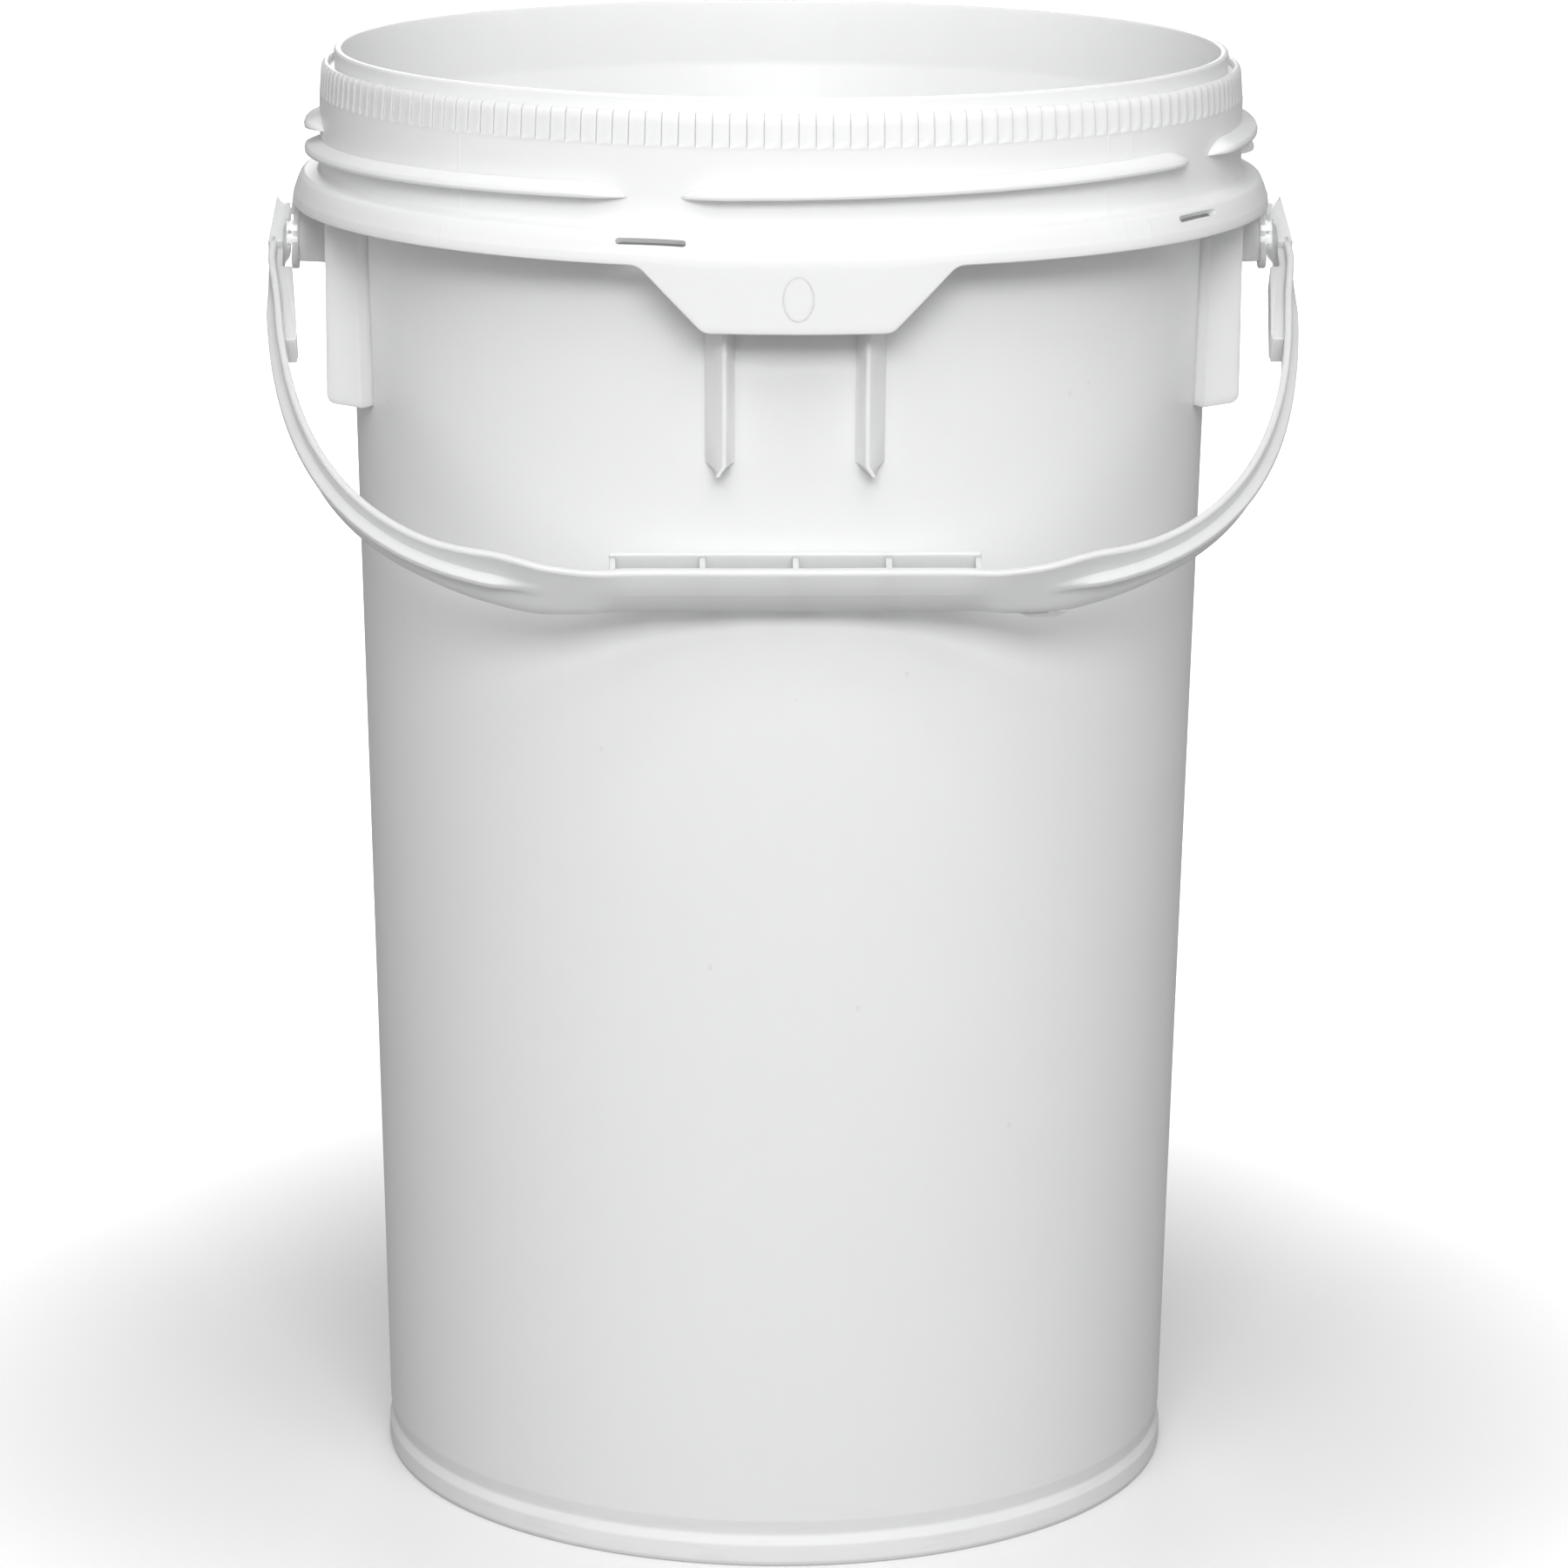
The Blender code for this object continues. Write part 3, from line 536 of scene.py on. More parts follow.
def painted_groove_shade(tree, place, strength):
    """Painted shade: a share that is high in the grooves between the teeth, found from the angle round the
    pail.
    """
    parts = add(tree, "ShaderNodeSeparateXYZ")
    tree.links.new(place, parts.inputs["Vector"])
    front = combine(tree, "MULTIPLY", parts.outputs["Y"], -1.0)
    angle = combine(tree, "ARCTAN2", parts.outputs["X"], front)
    tooth = combine(tree, "MULTIPLY", angle, TEETH / (2.0 * pi))
    station = combine(tree, "FRACT", tooth, 0.0)
    off = combine(tree, "ABSOLUTE", combine(tree, "SUBTRACT", station, GROOVE_AT), 0.0)
    return ramp(tree, off, GROOVE_HALF, GROOVE_CORE * GROOVE_HALF, 0.0, strength)


def polyethylene(
    name, light, dark, gloss, soak=THIN_SOAK, drag=UPRIGHT_FLOW,
    scuff_height=None, groove_shade=0.0, painted_glow=0.0,
):
    """Moulded polyethylene: faint clouding and flow lines, a satin skin that varies, specks and scuffs,
    paler sharp edges, and where asked painted shade in grooves and a painted glow.

    light and dark are the colours it clouds between, gloss its roughness range, soak how far light
    soaks in (mm) and how much of it does, and drag the stretch that turns noise into flow lines.
    groove_shade is the strength of painted shade in the fine grooves, and the glow argument is a painted
    glow: emission in the surface's own colour, standing in for light that would come through a thin piece
    from behind.
    """
    material = bpy.data.materials.new(name)
    material.use_nodes = True
    tree = material.node_tree
    shader = tree.nodes["Principled BSDF"]
    place = add(tree, "ShaderNodeTexCoord").outputs["Object"]

    clouds = noise(tree, place, 9.0, detail=4.0)
    flow = noise(tree, place, 150.0, stretch=drag)
    clouding = ramp(tree, clouds, 0.2, 0.8, 0.0, CLOUD_SHARE)
    tone = combine(tree, "ADD", clouding, ramp(tree, flow, 0.2, 0.8, 0.0, 1.0 - CLOUD_SHARE))
    colour = blend_colour(tree, tone, light, dark)

    specks = noise(tree, place, 210.0, detail=0.0)
    colour = blend_colour(tree, ramp(tree, specks, 0.90, 0.91, 0.0, SPECK_SHARE), colour, SPECK_COLOUR)

    rough = ramp(tree, noise(tree, place, 38.0, detail=5.0), 0.3, 0.7, *gloss)
    if scuff_height is not None:
        height = add(tree, "ShaderNodeSeparateXYZ")
        tree.links.new(place, height.inputs["Vector"])
        near_foot = ramp(tree, height.outputs["Z"], scuff_height * MM, 0.0, 0.0, 1.0)
        scratches = ramp(tree, noise(tree, place, 260.0, stretch=(0.12, 0.12, 1.0)), 0.52, 0.68, 0.0, 1.0)
        scuffs = combine(tree, "MULTIPLY", near_foot, scratches)
        rough = combine(tree, "ADD", rough, combine(tree, "MULTIPLY", scuffs, SCUFF_ROUGH))
        colour = blend_colour(tree, combine(tree, "MULTIPLY", scuffs, SCUFF_SHARE), colour, SCUFF_COLOUR)

    # sharp outward edges are made paler in colour
    edge_pointiness = add(tree, "ShaderNodeNewGeometry").outputs["Pointiness"]
    colour = blend_colour(tree, ramp(tree, edge_pointiness, 0.53, 0.62, 0.0, PALE_EDGE_SHARE), colour, PALE_EDGE_COLOUR)

    # painted shade: the grooves between the ratchet teeth are darkened in colour, as if in shade
    if groove_shade:
        colour = blend_colour(tree, painted_groove_shade(tree, place, groove_shade), colour, GROOVE_SHADE_COLOUR)

    ripples = bump(tree, noise(tree, place, 22.0, detail=1.0), 0.5, 0.35)
    lines = bump(tree, flow, 0.35, 0.02, under=ripples)
    grain = bump(tree, noise(tree, place, 1400.0, detail=2.0), 0.4, 0.012, under=lines)

    tree.links.new(colour, shader.inputs["Base Color"])
    tree.links.new(rough, shader.inputs["Roughness"])
    tree.links.new(grain, shader.inputs["Normal"])
    shader.inputs["Subsurface Weight"].default_value = soak[1]
    shader.inputs["Subsurface Radius"].default_value = (1.0, 1.0, 1.0)
    shader.inputs["Subsurface Scale"].default_value = soak[0] * MM
    shader.inputs["IOR"].default_value = 1.5
    # painted glow: the surface gives off light in its own colour, so thin parts look lit through from
    # behind
    if painted_glow:
        tree.links.new(colour, shader.inputs["Emission Color"])
        shader.inputs["Emission Strength"].default_value = painted_glow
    return material


# each look is a material and the slot of the record that it stands for
PAIL = (polyethylene(
    "white_polyethylene", *WHITE, WHITE_GLOSS, WHITE_SOAK, scuff_height=26.0,
), "pail_hdpe")
# the ratchet band gets painted shade in the grooves between its teeth
BAND = (polyethylene(
    "ratchet_polyethylene", *WHITE, WHITE_GLOSS, WHITE_SOAK, groove_shade=0.4,
), "pail_hdpe")
THIN = (polyethylene(
    "thin_white_polyethylene", WHITE[0], (0.882, 0.885, 0.888, 1.0), (0.3, 0.42),
), "pail_thin_hdpe")
BAIL = (polyethylene(
    "natural_polyethylene", (0.80, 0.805, 0.805, 1.0), (0.77, 0.775, 0.777, 1.0), NATURAL_GLOSS,
    drag=BAIL_FLOW,
), "bail_hdpe")
# the pins get a painted glow, which makes them look brightly lit
GLOWING_PIN = (polyethylene("pin_polyethylene", *WHITE, WHITE_GLOSS, painted_glow=0.4), "pail_hdpe")
# painted shade and glow: the eye pads are the bail's own plastic made darker in colour where they lie in
# shade, with a weak painted glow that lifts their hollows
PAD_SHADE_AND_GLOW = (polyethylene(
    "pad_polyethylene_shade_and_glow", (0.66, 0.664, 0.665, 1.0), (0.64, 0.644, 0.646, 1.0), NATURAL_GLOSS,
    drag=BAIL_FLOW, painted_glow=0.2,
), "bail_hdpe")


# ---------------- pail

def evenly(step):
    """Angles all the way round, this many degrees apart."""
    return [i * step for i in range(round(360.0 / step))]


def pail_shell():
    """Foot, wall, rim, inside and floor in one skin, with the floor raised off the table."""
    foot_in = FOOT_R - FOOT_THICK
    inside = [(wall_radius(z) - WALL, z) for z in (FLARE[0], SHOULDER[0], BELLY[0])]
    profile = rounded([
        (AXIS_R, FLOOR_LOW - GATE_DROP), (GATE_R, FLOOR_LOW - GATE_DROP, 0.4),
        (GATE_R + 0.8, FLOOR_LOW, 0.4),
        *[(foot_in - gap, FLOOR_LOW - down, 4.0) for gap, down in UNDER_RING],
        (foot_in, FLOOR_LOW, 1.8), (foot_in, 0.0, 0.7),
        (FOOT_R - 0.5, 0.0, 0.7), (FOOT_R, 1.6, 3.0), (FOOT_R - 0.1, 7.2, 3.5),
        (GROOVE[1], GROOVE[0], 3.0), (WALL_FOOT_R, 15.5, 8.0), (BELLY[1], BELLY[0], 900.0),
        (SHOULDER[1], SHOULDER[0], 16.0), (FLARE[1], FLARE[0], 16.0),
        (RIM_R, HEIGHT, RIM_ROUND), (RIM_R - WALL, HEIGHT, RIM_ROUND),
        (*inside[0], 16.0), (*inside[1], 16.0), (*inside[2], 900.0), (WALL_FOOT_R - WALL, FLOOR_HIGH, 6.0),
        (96.0, FLOOR_HIGH - 0.3, 20.0), (92.0, FLOOR_HIGH - 0.9, 20.0), (AXIS_R, FLOOR_HIGH - 1.1),
    ], steps=6)
    sections = [[polar(r, angle, z) for r, z in profile] for angle in evenly(COLUMN_STEP)]
    shell = make_object("pail_shell", *loft(sections, closed=True, ring=False))
    piece(shell, "pail", PAIL, ("pail_wall", "pail_floor", "foot_ring"))


def ratchet_band():
    """Teeth parted by fine grooves, with scoops that run out in a slant over a plain lip."""
    pitch = 360.0 / TEETH
    top = BAND_TOP - BAND_LOW
    foot, climb, fade = SCOOP_FOOT
    slant_from, slant_power = SCOOP_SLANT
    crown_in = BAND_CROWN[-1][1]
    round_in, round_down = LIP_ROUND
    crest = TIP_R + TOOTH_OVER
    inner = RIM_R - BAND_ROOT
    lip_in = crest - crown_in - LEDGE_DEEP
    sections = []
    for tooth in range(TEETH):
        for station, cut in TOOTH:
            rows = [
                (inner, BAND_LOW + BAND_STEP), (NECK_R - BAND_STEP, BAND_LOW + BAND_STEP),
                (NECK_R - 0.02, BAND_LOW),
            ]
            starts = foot + climb * max(0.0, station - slant_from) ** slant_power
            for height in (*BAND_ROWS, top - BAND_TOP_ROW):
                draft = BAND_DRAFT * height / top
                shown = smooth((height - starts) / fade + SCOOP_LEAD)
                rows.append((crest - draft - cut * shown, BAND_LOW + height))
            for down, back in BAND_CROWN:
                radius = crest - BAND_DRAFT - cut * (1.0 - CROWN_FADE * back) - back
                rows.append((radius, BAND_LOW + (top - down)))
            wave = LEDGE_WAVE * cut
            rows += [
                (crest - BAND_DRAFT - crown_in - wave, BAND_TOP),
                (lip_in + round_in + wave, BAND_TOP),
                (lip_in + wave, BAND_TOP - round_down),
                (lip_in - CHANNEL_DRAFT + wave, BAND_TOP - CHANNEL_DEEP),
                (inner, BAND_TOP - CHANNEL_DEEP),
            ]
            sections.append([polar(r, (tooth + station) * pitch, z) for r, z in rows])
    band = make_object("ratchet_band", *loft(sections, closed=True), sharp=40.0)
    piece(band, "pail", BAND, ("ratchet_ring",))


def tab_edge():
    """Lower edge of the skirt and the tab as (distance round the arc, height)."""
    big, small = TAB_FILLETS
    half = [
        (TAB_HALF_LOW, TAB_LOW, small), (TAB_HALF_TOP, COLLAR_LOW, big),
        (TAB_HALF_TOP + TAB_BESIDE, COLLAR_LOW),
    ]
    mirrored = [(-u, z, *rest) for u, z, *rest in reversed(half)]
    line = rounded(mirrored + half, steps=10)
    return [u for u, z in line], [z for u, z in line]


def neck_angles():
    """Columns round the neck: fine ones over the tab and over each parting line."""
    count, step = TAB_COLUMNS
    angles = set(evenly(COLUMN_STEP))
    angles.update((i * step) % 360.0 for i in range(-count, count + 1))
    for seam in SEAMS:
        angles.update(round((seam + k / 2 * SEAM_HALF) % 360.0, 4) for k in range(-3, 4))
    kept = []
    for angle in sorted(angles):
        if not kept or angle - kept[-1] > COLUMN_GAP:
            kept.append(angle)
    return kept


def seam_height(angle):
    """How proud a parting line stands at an angle."""
    gap = min(abs((angle - seam + 180.0) % 360.0 - 180.0) for seam in SEAMS)
    return SEAM_PROUD * max(0.0, 1.0 - gap / SEAM_HALF)


def slot_cutter(angle):
    """A block with round corners, the size of one drain slot, square to the sloping shoulder."""
    out = Vector(polar(1.0, angle, 0.0))
    side = Vector((-out.y, out.x, 0.0))
    up = Vector((0.0, 0.0, 1.0))
    tilt = radians(SLOT_TILT)
    through = out * cos(tilt) + up * sin(tilt)
    across = up * cos(tilt) - out * sin(tilt)
    centre = out * SLOT_CENTRE[0] + up * SLOT_CENTRE[1]
    half_long, half_high = SLOT_SIZE[0] / 2, SLOT_SIZE[1] / 2
    corners = ((-1, -1), (1, -1), (1, 1), (-1, 1))
    outline = rounded([(x * half_long, y * half_high, SLOT_CORNER) for x, y in corners], closed=True)
    return prism(
        "slot_cutter", outline, lambda u, v, depth: centre + side * u + across * v + through * depth,
        -SLOT_REACH, SLOT_REACH,
    )


def neck_and_collar():
    """Screw neck, sloping collar, skirt and front tab in one skin, pierced by the drain slots."""
    inner = NECK_R - NECK_WALL
    top = BAND_LOW + NECK_OVERLAP
    bend_in, bend_down = COLLAR_BEND_TOP
    low_in, low_down = COLLAR_BEND_LOW
    bend_z = COLLAR_TOP - low_down
    inside_r = COLLAR_R - COLLAR_WALL
    inside_z = COLLAR_TOP - COLLAR_WALL
    neck = rounded([
        (NECK_R, top), (NECK_R, COLLAR_TOP, NECK_FILLET),
        (COLLAR_R - bend_in, COLLAR_TOP - bend_down + 0.9, COLLAR_BEND_ROUND),
        (COLLAR_R - low_in - 1.1, (2 * COLLAR_TOP - bend_down - low_down) / 2 + 0.3, 6.0),
        (COLLAR_R - low_in, bend_z, COLLAR_BEND_ROUND), (COLLAR_R, bend_z - SKIRT_BEND),
    ], steps=6)
    under = rounded([
        (inside_r, bend_z - SKIRT_BEND), (inside_r - 0.3, bend_z, 1.0),
        (inside_r - bend_in, inside_z, 1.2), (inner, inside_z, 0.8), (inner, top),
    ], steps=4)
    reach, edge_z = tab_edge()
    skirt_top = neck[-1][1]
    sections = []
    for angle in neck_angles():
        signed = (angle + 180.0) % 360.0 - 180.0
        low = float(np.interp(radians(signed) * COLLAR_R, reach, edge_z))
        proud = seam_height(angle)
        drop = skirt_top - low
        slim = (COLLAR_R - TAB_R) * smooth(drop / TAB_BLEND)
        wall = COLLAR_WALL + (TAB_WALL - COLLAR_WALL) * smooth(drop / TAB_BLEND)
        rows = [(r + proud, z) for r, z in neck[:-1]]
        for k in range(SKIRT_ROWS):
            share = k / (SKIRT_ROWS - 1)
            rows.append((COLLAR_R - slim * share, skirt_top - (drop - SKIRT_EDGE) * share))
        outer = COLLAR_R - slim
        for turn, inside in SKIRT_TURNS:
            back = SKIRT_EDGE * (1.0 - cos(radians(turn)))
            back = wall - back if inside else back
            rows.append((outer - back, low + SKIRT_EDGE * (1.0 - sin(radians(turn)))))
        for k in range(1, SKIRT_ROWS - 1):
            share = 1.0 - k / (SKIRT_ROWS - 1)
            rows.append((COLLAR_R - slim * share - wall, skirt_top - (drop - SKIRT_EDGE) * share))
        rows += under
        sections.append([polar(r, angle, z) for r, z in rows])
    skin = make_object("neck_and_collar", *loft(sections, closed=True))
    carve(skin, [slot_cutter(angle) for angle in SLOT_ANGLES])
    piece(skin, "pail", PAIL, ("neck_skirt", "collar_flange", "front_tab"))


def ring_mark():
    """A plain oval ring, slightly raised on the tab, as a mould insert leaves."""
    half_w, half_h = RING_HALF
    bead, rise = RING_BEAD
    around, across = RING_STEPS
    sections = []
    for i in range(around):
        turn = 2 * pi * i / around
        section = []
        for k in range(across):
            roll = 2 * pi * k / across
            u = (half_w + bead * cos(roll)) * sin(turn)
            v = (half_h + bead * cos(roll)) * cos(turn)
            radius = TAB_R + RING_LIFT + rise * sin(roll)
            section.append(polar(radius, degrees(u / TAB_R), HEIGHT - RING_DOWN + v))
        sections.append(section)
    piece(make_object("tab_ring_mark", *loft(sections, closed=True)), "pail", PAIL)


def thread_ridge(start, run, first, last):
    """One raised stretch of screw thread, running out to a point at each end along its lower edge."""
    outline = rounded(THREAD_LINE, steps=3)
    root = NECK_R - THREAD_SUNK
    steps = round((last - first) / THREAD_STEP)
    sections = []
    for i in range(steps + 1):
        angle = first + (last - first) * i / steps
        end = min(angle - first, last - angle) / THREAD_TAPER
        scale = sin(min(1.0, end) * pi / 2) ** THREAD_POINT
        centre = THREAD_FRONT_Z + THREAD_RISE * angle
        low = centre - THREAD_HALF
        proud = (THREAD_CREST_R - NECK_R) * scale
        tall = THREAD_THIN + (1.0 - THREAD_THIN) * scale
        section = []
        for out, up in outline:
            radius = root + (proud + THREAD_SUNK if out > 0.0 else THREAD_ROOT) * out
            section.append(polar(radius, angle + 180.0 * start, low + THREAD_HALF * (up + 1.0) * tall))
        sections.append(section)
    ridge = make_object(f"thread_ridge_{start + 1}_{run + 1}", *loft(sections), sharp=60.0)
    piece(ridge, "pail", PAIL, (f"thread_{start + 1}_run_{run + 1}",))


def tab_rib(side, name):
    """A wedge on the wall behind the tab: steep flank outside, long slope inside, pointed foot."""
    angle = side * RIB_ANGLE
    out = Vector(polar(1.0, angle, 0.0))
    across = Vector((-out.y, out.x, 0.0)) * -side
    up = Vector((0.0, 0.0, 1.0))
    sections = []
    half_crest, crest_round = RIB_CREST
    for z in (*RIB_LEVELS, RIB_LOW + RIB_POINT, RIB_LOW + 0.5 * RIB_POINT, RIB_LOW):
        spread = min(1.0, RIB_TIP + (1.0 - RIB_TIP) * (z - RIB_LOW) / RIB_POINT)
        root = wall_radius(z) - RIB_SUNK
        crest = min(wall_radius(z) + RIB_PROUD, TAB_R - TAB_WALL - RIB_CLEAR)
        apex = RIB_APEX * spread
        half = RIB_HALF * spread
        line = rounded([
            *[(-half - wider, root + rise, *rest) for wider, rise, *rest in RIB_FLANK],
            (apex - half_crest, crest, crest_round), (apex + half_crest, crest, crest_round),
            *[(half + wider, root + rise, *rest) for wider, rise, *rest in reversed(RIB_FLANK)],
        ], steps=3)
        sections.append([out * r + across * u + up * z for u, r in line])
    piece(make_object(name, *loft(sections)), "pail", PAIL, (name,))


def side_plate(sx, sy, name):
    """A thin upright plate with a soft fold where it thickens into the wall."""
    near, far = sorted(-corner.y for corner in PLATE)
    outer_rise, inner_rise = PLATE_CHEVRON
    corner_x = PLATE_X - PLATE_CORNER
    stations = [PLATE_ROOT_X, *[PLATE_FOLD_X + step for step in PLATE_FOLD_STEPS], corner_x]
    stations += [corner_x + PLATE_CORNER * sin(radians(t)) for t in range(10, 91, 10)]
    sections = []
    for x in stations:
        if x <= PLATE_FOLD_X:
            low = PLATE_LOW + inner_rise * (PLATE_FOLD_X - x) / (PLATE_FOLD_X - PLATE_ROOT_X)
        else:
            low = PLATE_LOW + outer_rise * (x - PLATE_FOLD_X) / (corner_x - PLATE_FOLD_X)
        if x > corner_x:
            inside = PLATE_CORNER ** 2 - (x - corner_x) ** 2
            low = PLATE_LOW + outer_rise + PLATE_CORNER - sqrt(max(0.0, inside))
        thick = PLATE_FOLD_DEEP * max(0.0, PLATE_FOLD_X - x) / (PLATE_FOLD_X - PLATE_ROOT_X)
        lean = (PLATE_TOP - low) * (SHOULDER[1] - BELLY[1]) / (SHOULDER[0] - BELLY[0])
        top_x = x + lean if x < corner_x - 1.0 else x
        sections.append([
            (sx * x, sy * near, low), (sx * x, sy * (far + thick), low),
            (sx * top_x, sy * (far + thick), PLATE_TOP), (sx * top_x, sy * near, PLATE_TOP),
        ])
    plate = make_object(name, *loft(sections), sharp=12.0)
    piece(soften(plate, 0.4), "pail", THIN, (name,))


def ear(sx, side):
    """Hinge ear: an upright leaf under the skirt, and two webs that tie it to the wall."""
    middle = (LEAF_LOW.y + LEAF_HIGH.y) / 2
    half = (LEAF_HIGH.y - LEAF_LOW.y) / 2
    top = COLLAR_LOW + LEAF_UP
    skirt_in = COLLAR_R - COLLAR_WALL - LEAF_GAP
    outline = [(LEAF_LOW.y, top)]
    outline += arc((middle, LEAF_LOW.z + half), half, 180.0, 360.0, 20)
    outline.append((LEAF_HIGH.y, top))
    sections = []
    for share in (0.0, 1.0):
        section = []
        for y, z in outline:
            foot = max(0.0, 1.0 - (z - LEAF_LOW.z) / (LEAF_HIGH.z - LEAF_LOW.z))
            inner = LEAF_LOW.x + LEAF_FOOT * foot
            if z > COLLAR_LOW:
                inner = min(inner, skirt_in)
            outer = LEAF_HIGH.x if z < COLLAR_LOW else COLLAR_R - LEAF_BACK
            section.append((sx * (inner * (1 - share) + outer * share), y, z))
        sections.append(section)
    leaf = make_object(f"ear_leaf_{side}", *loft(sections))
    piece(soften(leaf, 0.45), "pail", THIN, (f"ear_leaf_{side}",))

    start, tip = LEAF_TIP
    root_x = COLLAR_R - LEAF_TIP_WALL
    fin = [
        (root_x, start), (LEAF_HIGH.x, start), (LEAF_HIGH.x, start + LEAF_TIP_CORNER), (COLLAR_R, tip),
        (root_x, tip),
    ]
    point = prism(
        f"ear_tip_{side}", fin, lambda u, v, depth: (sx * u, depth, v),
        LEAF_LOW.y + LEAF_TIP_IN, LEAF_HIGH.y - LEAF_TIP_IN,
    )
    piece(soften(point, 0.2), "pail", THIN)

    step_z = COLLAR_LOW - WEB_STEP_DOWN
    web = [
        (WEB_IN_X, WEB_LOW[0]), (LEAF_LOW.x + WEB_SUNK[0], WEB_LOW[1]), (LEAF_LOW.x + WEB_SUNK[1], step_z),
        (WEB_STEP_X, step_z), (WEB_STEP_X, WEB_TOP), (WEB_IN_X, WEB_TOP),
    ]
    for low, end in ((LEAF_LOW.y, "front"), (LEAF_HIGH.y - WEB_THICK, "rear")):
        name = f"ear_web_{side}_{end}"
        panel = prism(
            name, web, lambda u, v, depth: (sx * u, depth, v), low + WEB_TRIM, low + WEB_THICK - WEB_TRIM,
        )
        piece(soften(panel, 0.35), "pail", THIN, (name,))


def snap_pin(sx, sz, name):
    """One half-round prong: a square root on the leaf, a neck, and a barbed head with a rounded tip."""
    flat = PIN_SPLIT / 2
    stations = (
        (PIN_ROOT_X, PIN_ROOT_R), (LEAF_HIGH.x + 0.2, PIN_ROOT_R), (LEAF_HIGH.x + 0.6, PIN_NECK_R + 0.12),
        (LEAF_HIGH.x + 1.0, PIN_NECK_R), (PIN_HEAD_X - 0.25, PIN_NECK_R),
        *[(PIN_HEAD_X + out, PIN_HEAD_R + wider) for out, wider in PIN_BARB],
        *[(PIN_TIP_X + out, radius) for out, radius in PIN_TIP],
    )
    sections = []
    for x, radius in stations:
        start = degrees(asin(flat / radius))
        half_round = arc((0.0, 0.0), radius, start, 180.0 - start, 24)
        sections.append([(sx * x, y, HINGE_Z + sz * z) for y, z in half_round])
    piece(soften(make_object(name, *loft(sections)), 0.18, 2), "pail", GLOWING_PIN, (name,))


# ---------------- bail

GRIP_ACROSS = Vector((0.0, GRIP_AXIS.z, -GRIP_AXIS.y))


def bail_point(x, s, w):
    """A point of the bail at rest, from its place in the bail's own plane."""
    return Vector((x, 0.0, HINGE_Z)) + GRIP_AXIS * s + GRIP_ACROSS * w


def bezier(control, t):
    """A point on a cubic curve."""
    weights = ((1 - t) ** 3, 3 * (1 - t) ** 2 * t, 3 * (1 - t) * t ** 2, t ** 3)
    return tuple(sum(k * point[axis] for k, point in zip(weights, control)) for axis in (0, 1))


def strap_line():
    """(x, s, share of the arm) of the strap's crest line, from the right eye to the left one."""
    first = ARM_BEND[0]
    halfway, bend = ARM_SHARES
    arm = [(*ARM_START, 0.0), ((ARM_START[0] + first[0]) / 2, (ARM_START[1] + first[1]) / 2, halfway)]
    for i in range(ARM_STEPS + 1):
        arm.append((*bezier(ARM_BEND, i / ARM_STEPS), bend + (1.0 - bend) * i / ARM_STEPS))
    line = list(arm)
    for i in range(1, GRIP_STEPS):
        x = GRIP_HALF * (1.0 - 2.0 * i / GRIP_STEPS)
        line.append((x, GRIP_S - GRIP_BOW * (x / GRIP_HALF) ** 2 * smooth(1.2 - abs(x) / GRIP_HALF), 1.0))
    return line + [(-x, s, share) for x, s, share in reversed(arm)]


def arm_half_width(share):
    """Half width of an arm, which swells towards the grip."""
    widest, spread, extra = ARM_SWELL
    return ARM_HALF_W + extra * exp(-((share - widest) / spread) ** 2)


def strap_section(x, share):
    """Outline (inward depth, w) of the strap: a ribbed arm that turns into the crowned grip."""
    start, end = GRIP_BLEND
    grip = smooth((start - abs(x)) / (start - end)) if share > 0.8 else 0.0
    arm_half = arm_half_width(share)
    half = arm_half + (GRIP_HALF_W - arm_half) * grip
    gone, fall = RIDGE_FALL
    ridge = smooth(share / RIDGE_RISE) * smooth((gone - share) / fall)
    deep = ARM_FLAT_DEEP + (ARM_DEEP - ARM_FLAT_DEEP) * ridge
    face = deep - ARM_WEB
    flat_edge = half - STRAP_EDGE
    beside = RIDGE_FOOT + RIDGE_BESIDE
    inside = [
        flat_edge, (flat_edge + beside) / 2, beside, RIDGE_FOOT, *RIDGE_ROWS, RIDGE_CREST, RIDGE_CREST / 2,
    ]
    lip = [half - back for back in STRAP_LIP_ROWS]
    across = [-half, -half + 0.3 * STRAP_EDGE] + [-w for w in inside] + [0.0]
    across += list(reversed(inside[1:])) + lip + [flat_edge, half - 0.3 * STRAP_EDGE, half]
    front = []
    back = []
    for w in across:
        crown = GRIP_CROWN * (w / half) ** 2
        rise = 1.0 - smooth((abs(w) - RIDGE_CREST) / (RIDGE_FOOT - RIDGE_CREST))
        outer = (face - (face * rise) * ridge) * (1.0 - grip) + crown * grip
        inner = deep * (1.0 - grip) + (crown + GRIP_WEB) * grip
        outer -= STRAP_LIP * exp(-((w - half + STRAP_LIP_ROWS[1]) / STRAP_LIP_HALF) ** 2)
        outer -= STRAP_SEAM * exp(-(w / STRAP_SEAM_HALF) ** 2) * grip
        edge = STRAP_EDGE * max(0.0, 1.0 - (half - abs(w)) / STRAP_EDGE) ** 2
        front.append((outer + edge, w))
        back.append((inner - edge, w))
    return front + list(reversed(back))


def strap():
    """The arms and the grip in one sweep."""
    line = strap_line()
    sections = []
    for i, (x, s, share) in enumerate(line):
        before = line[max(i - 1, 0)]
        after = line[min(i + 1, len(line) - 1)]
        along = Vector((after[0] - before[0], after[1] - before[1])).normalized()
        inward = Vector((-along.y, along.x))
        sections.append([
            bail_point(x + inward.x * deep, s + inward.y * deep, w) for deep, w in strap_section(x, share)
        ])
    made = make_object("bail_strap", *loft(sections))
    piece(made, "bail", BAIL, ("bail_arm_left", "bail_arm_right", "grip_strap"))


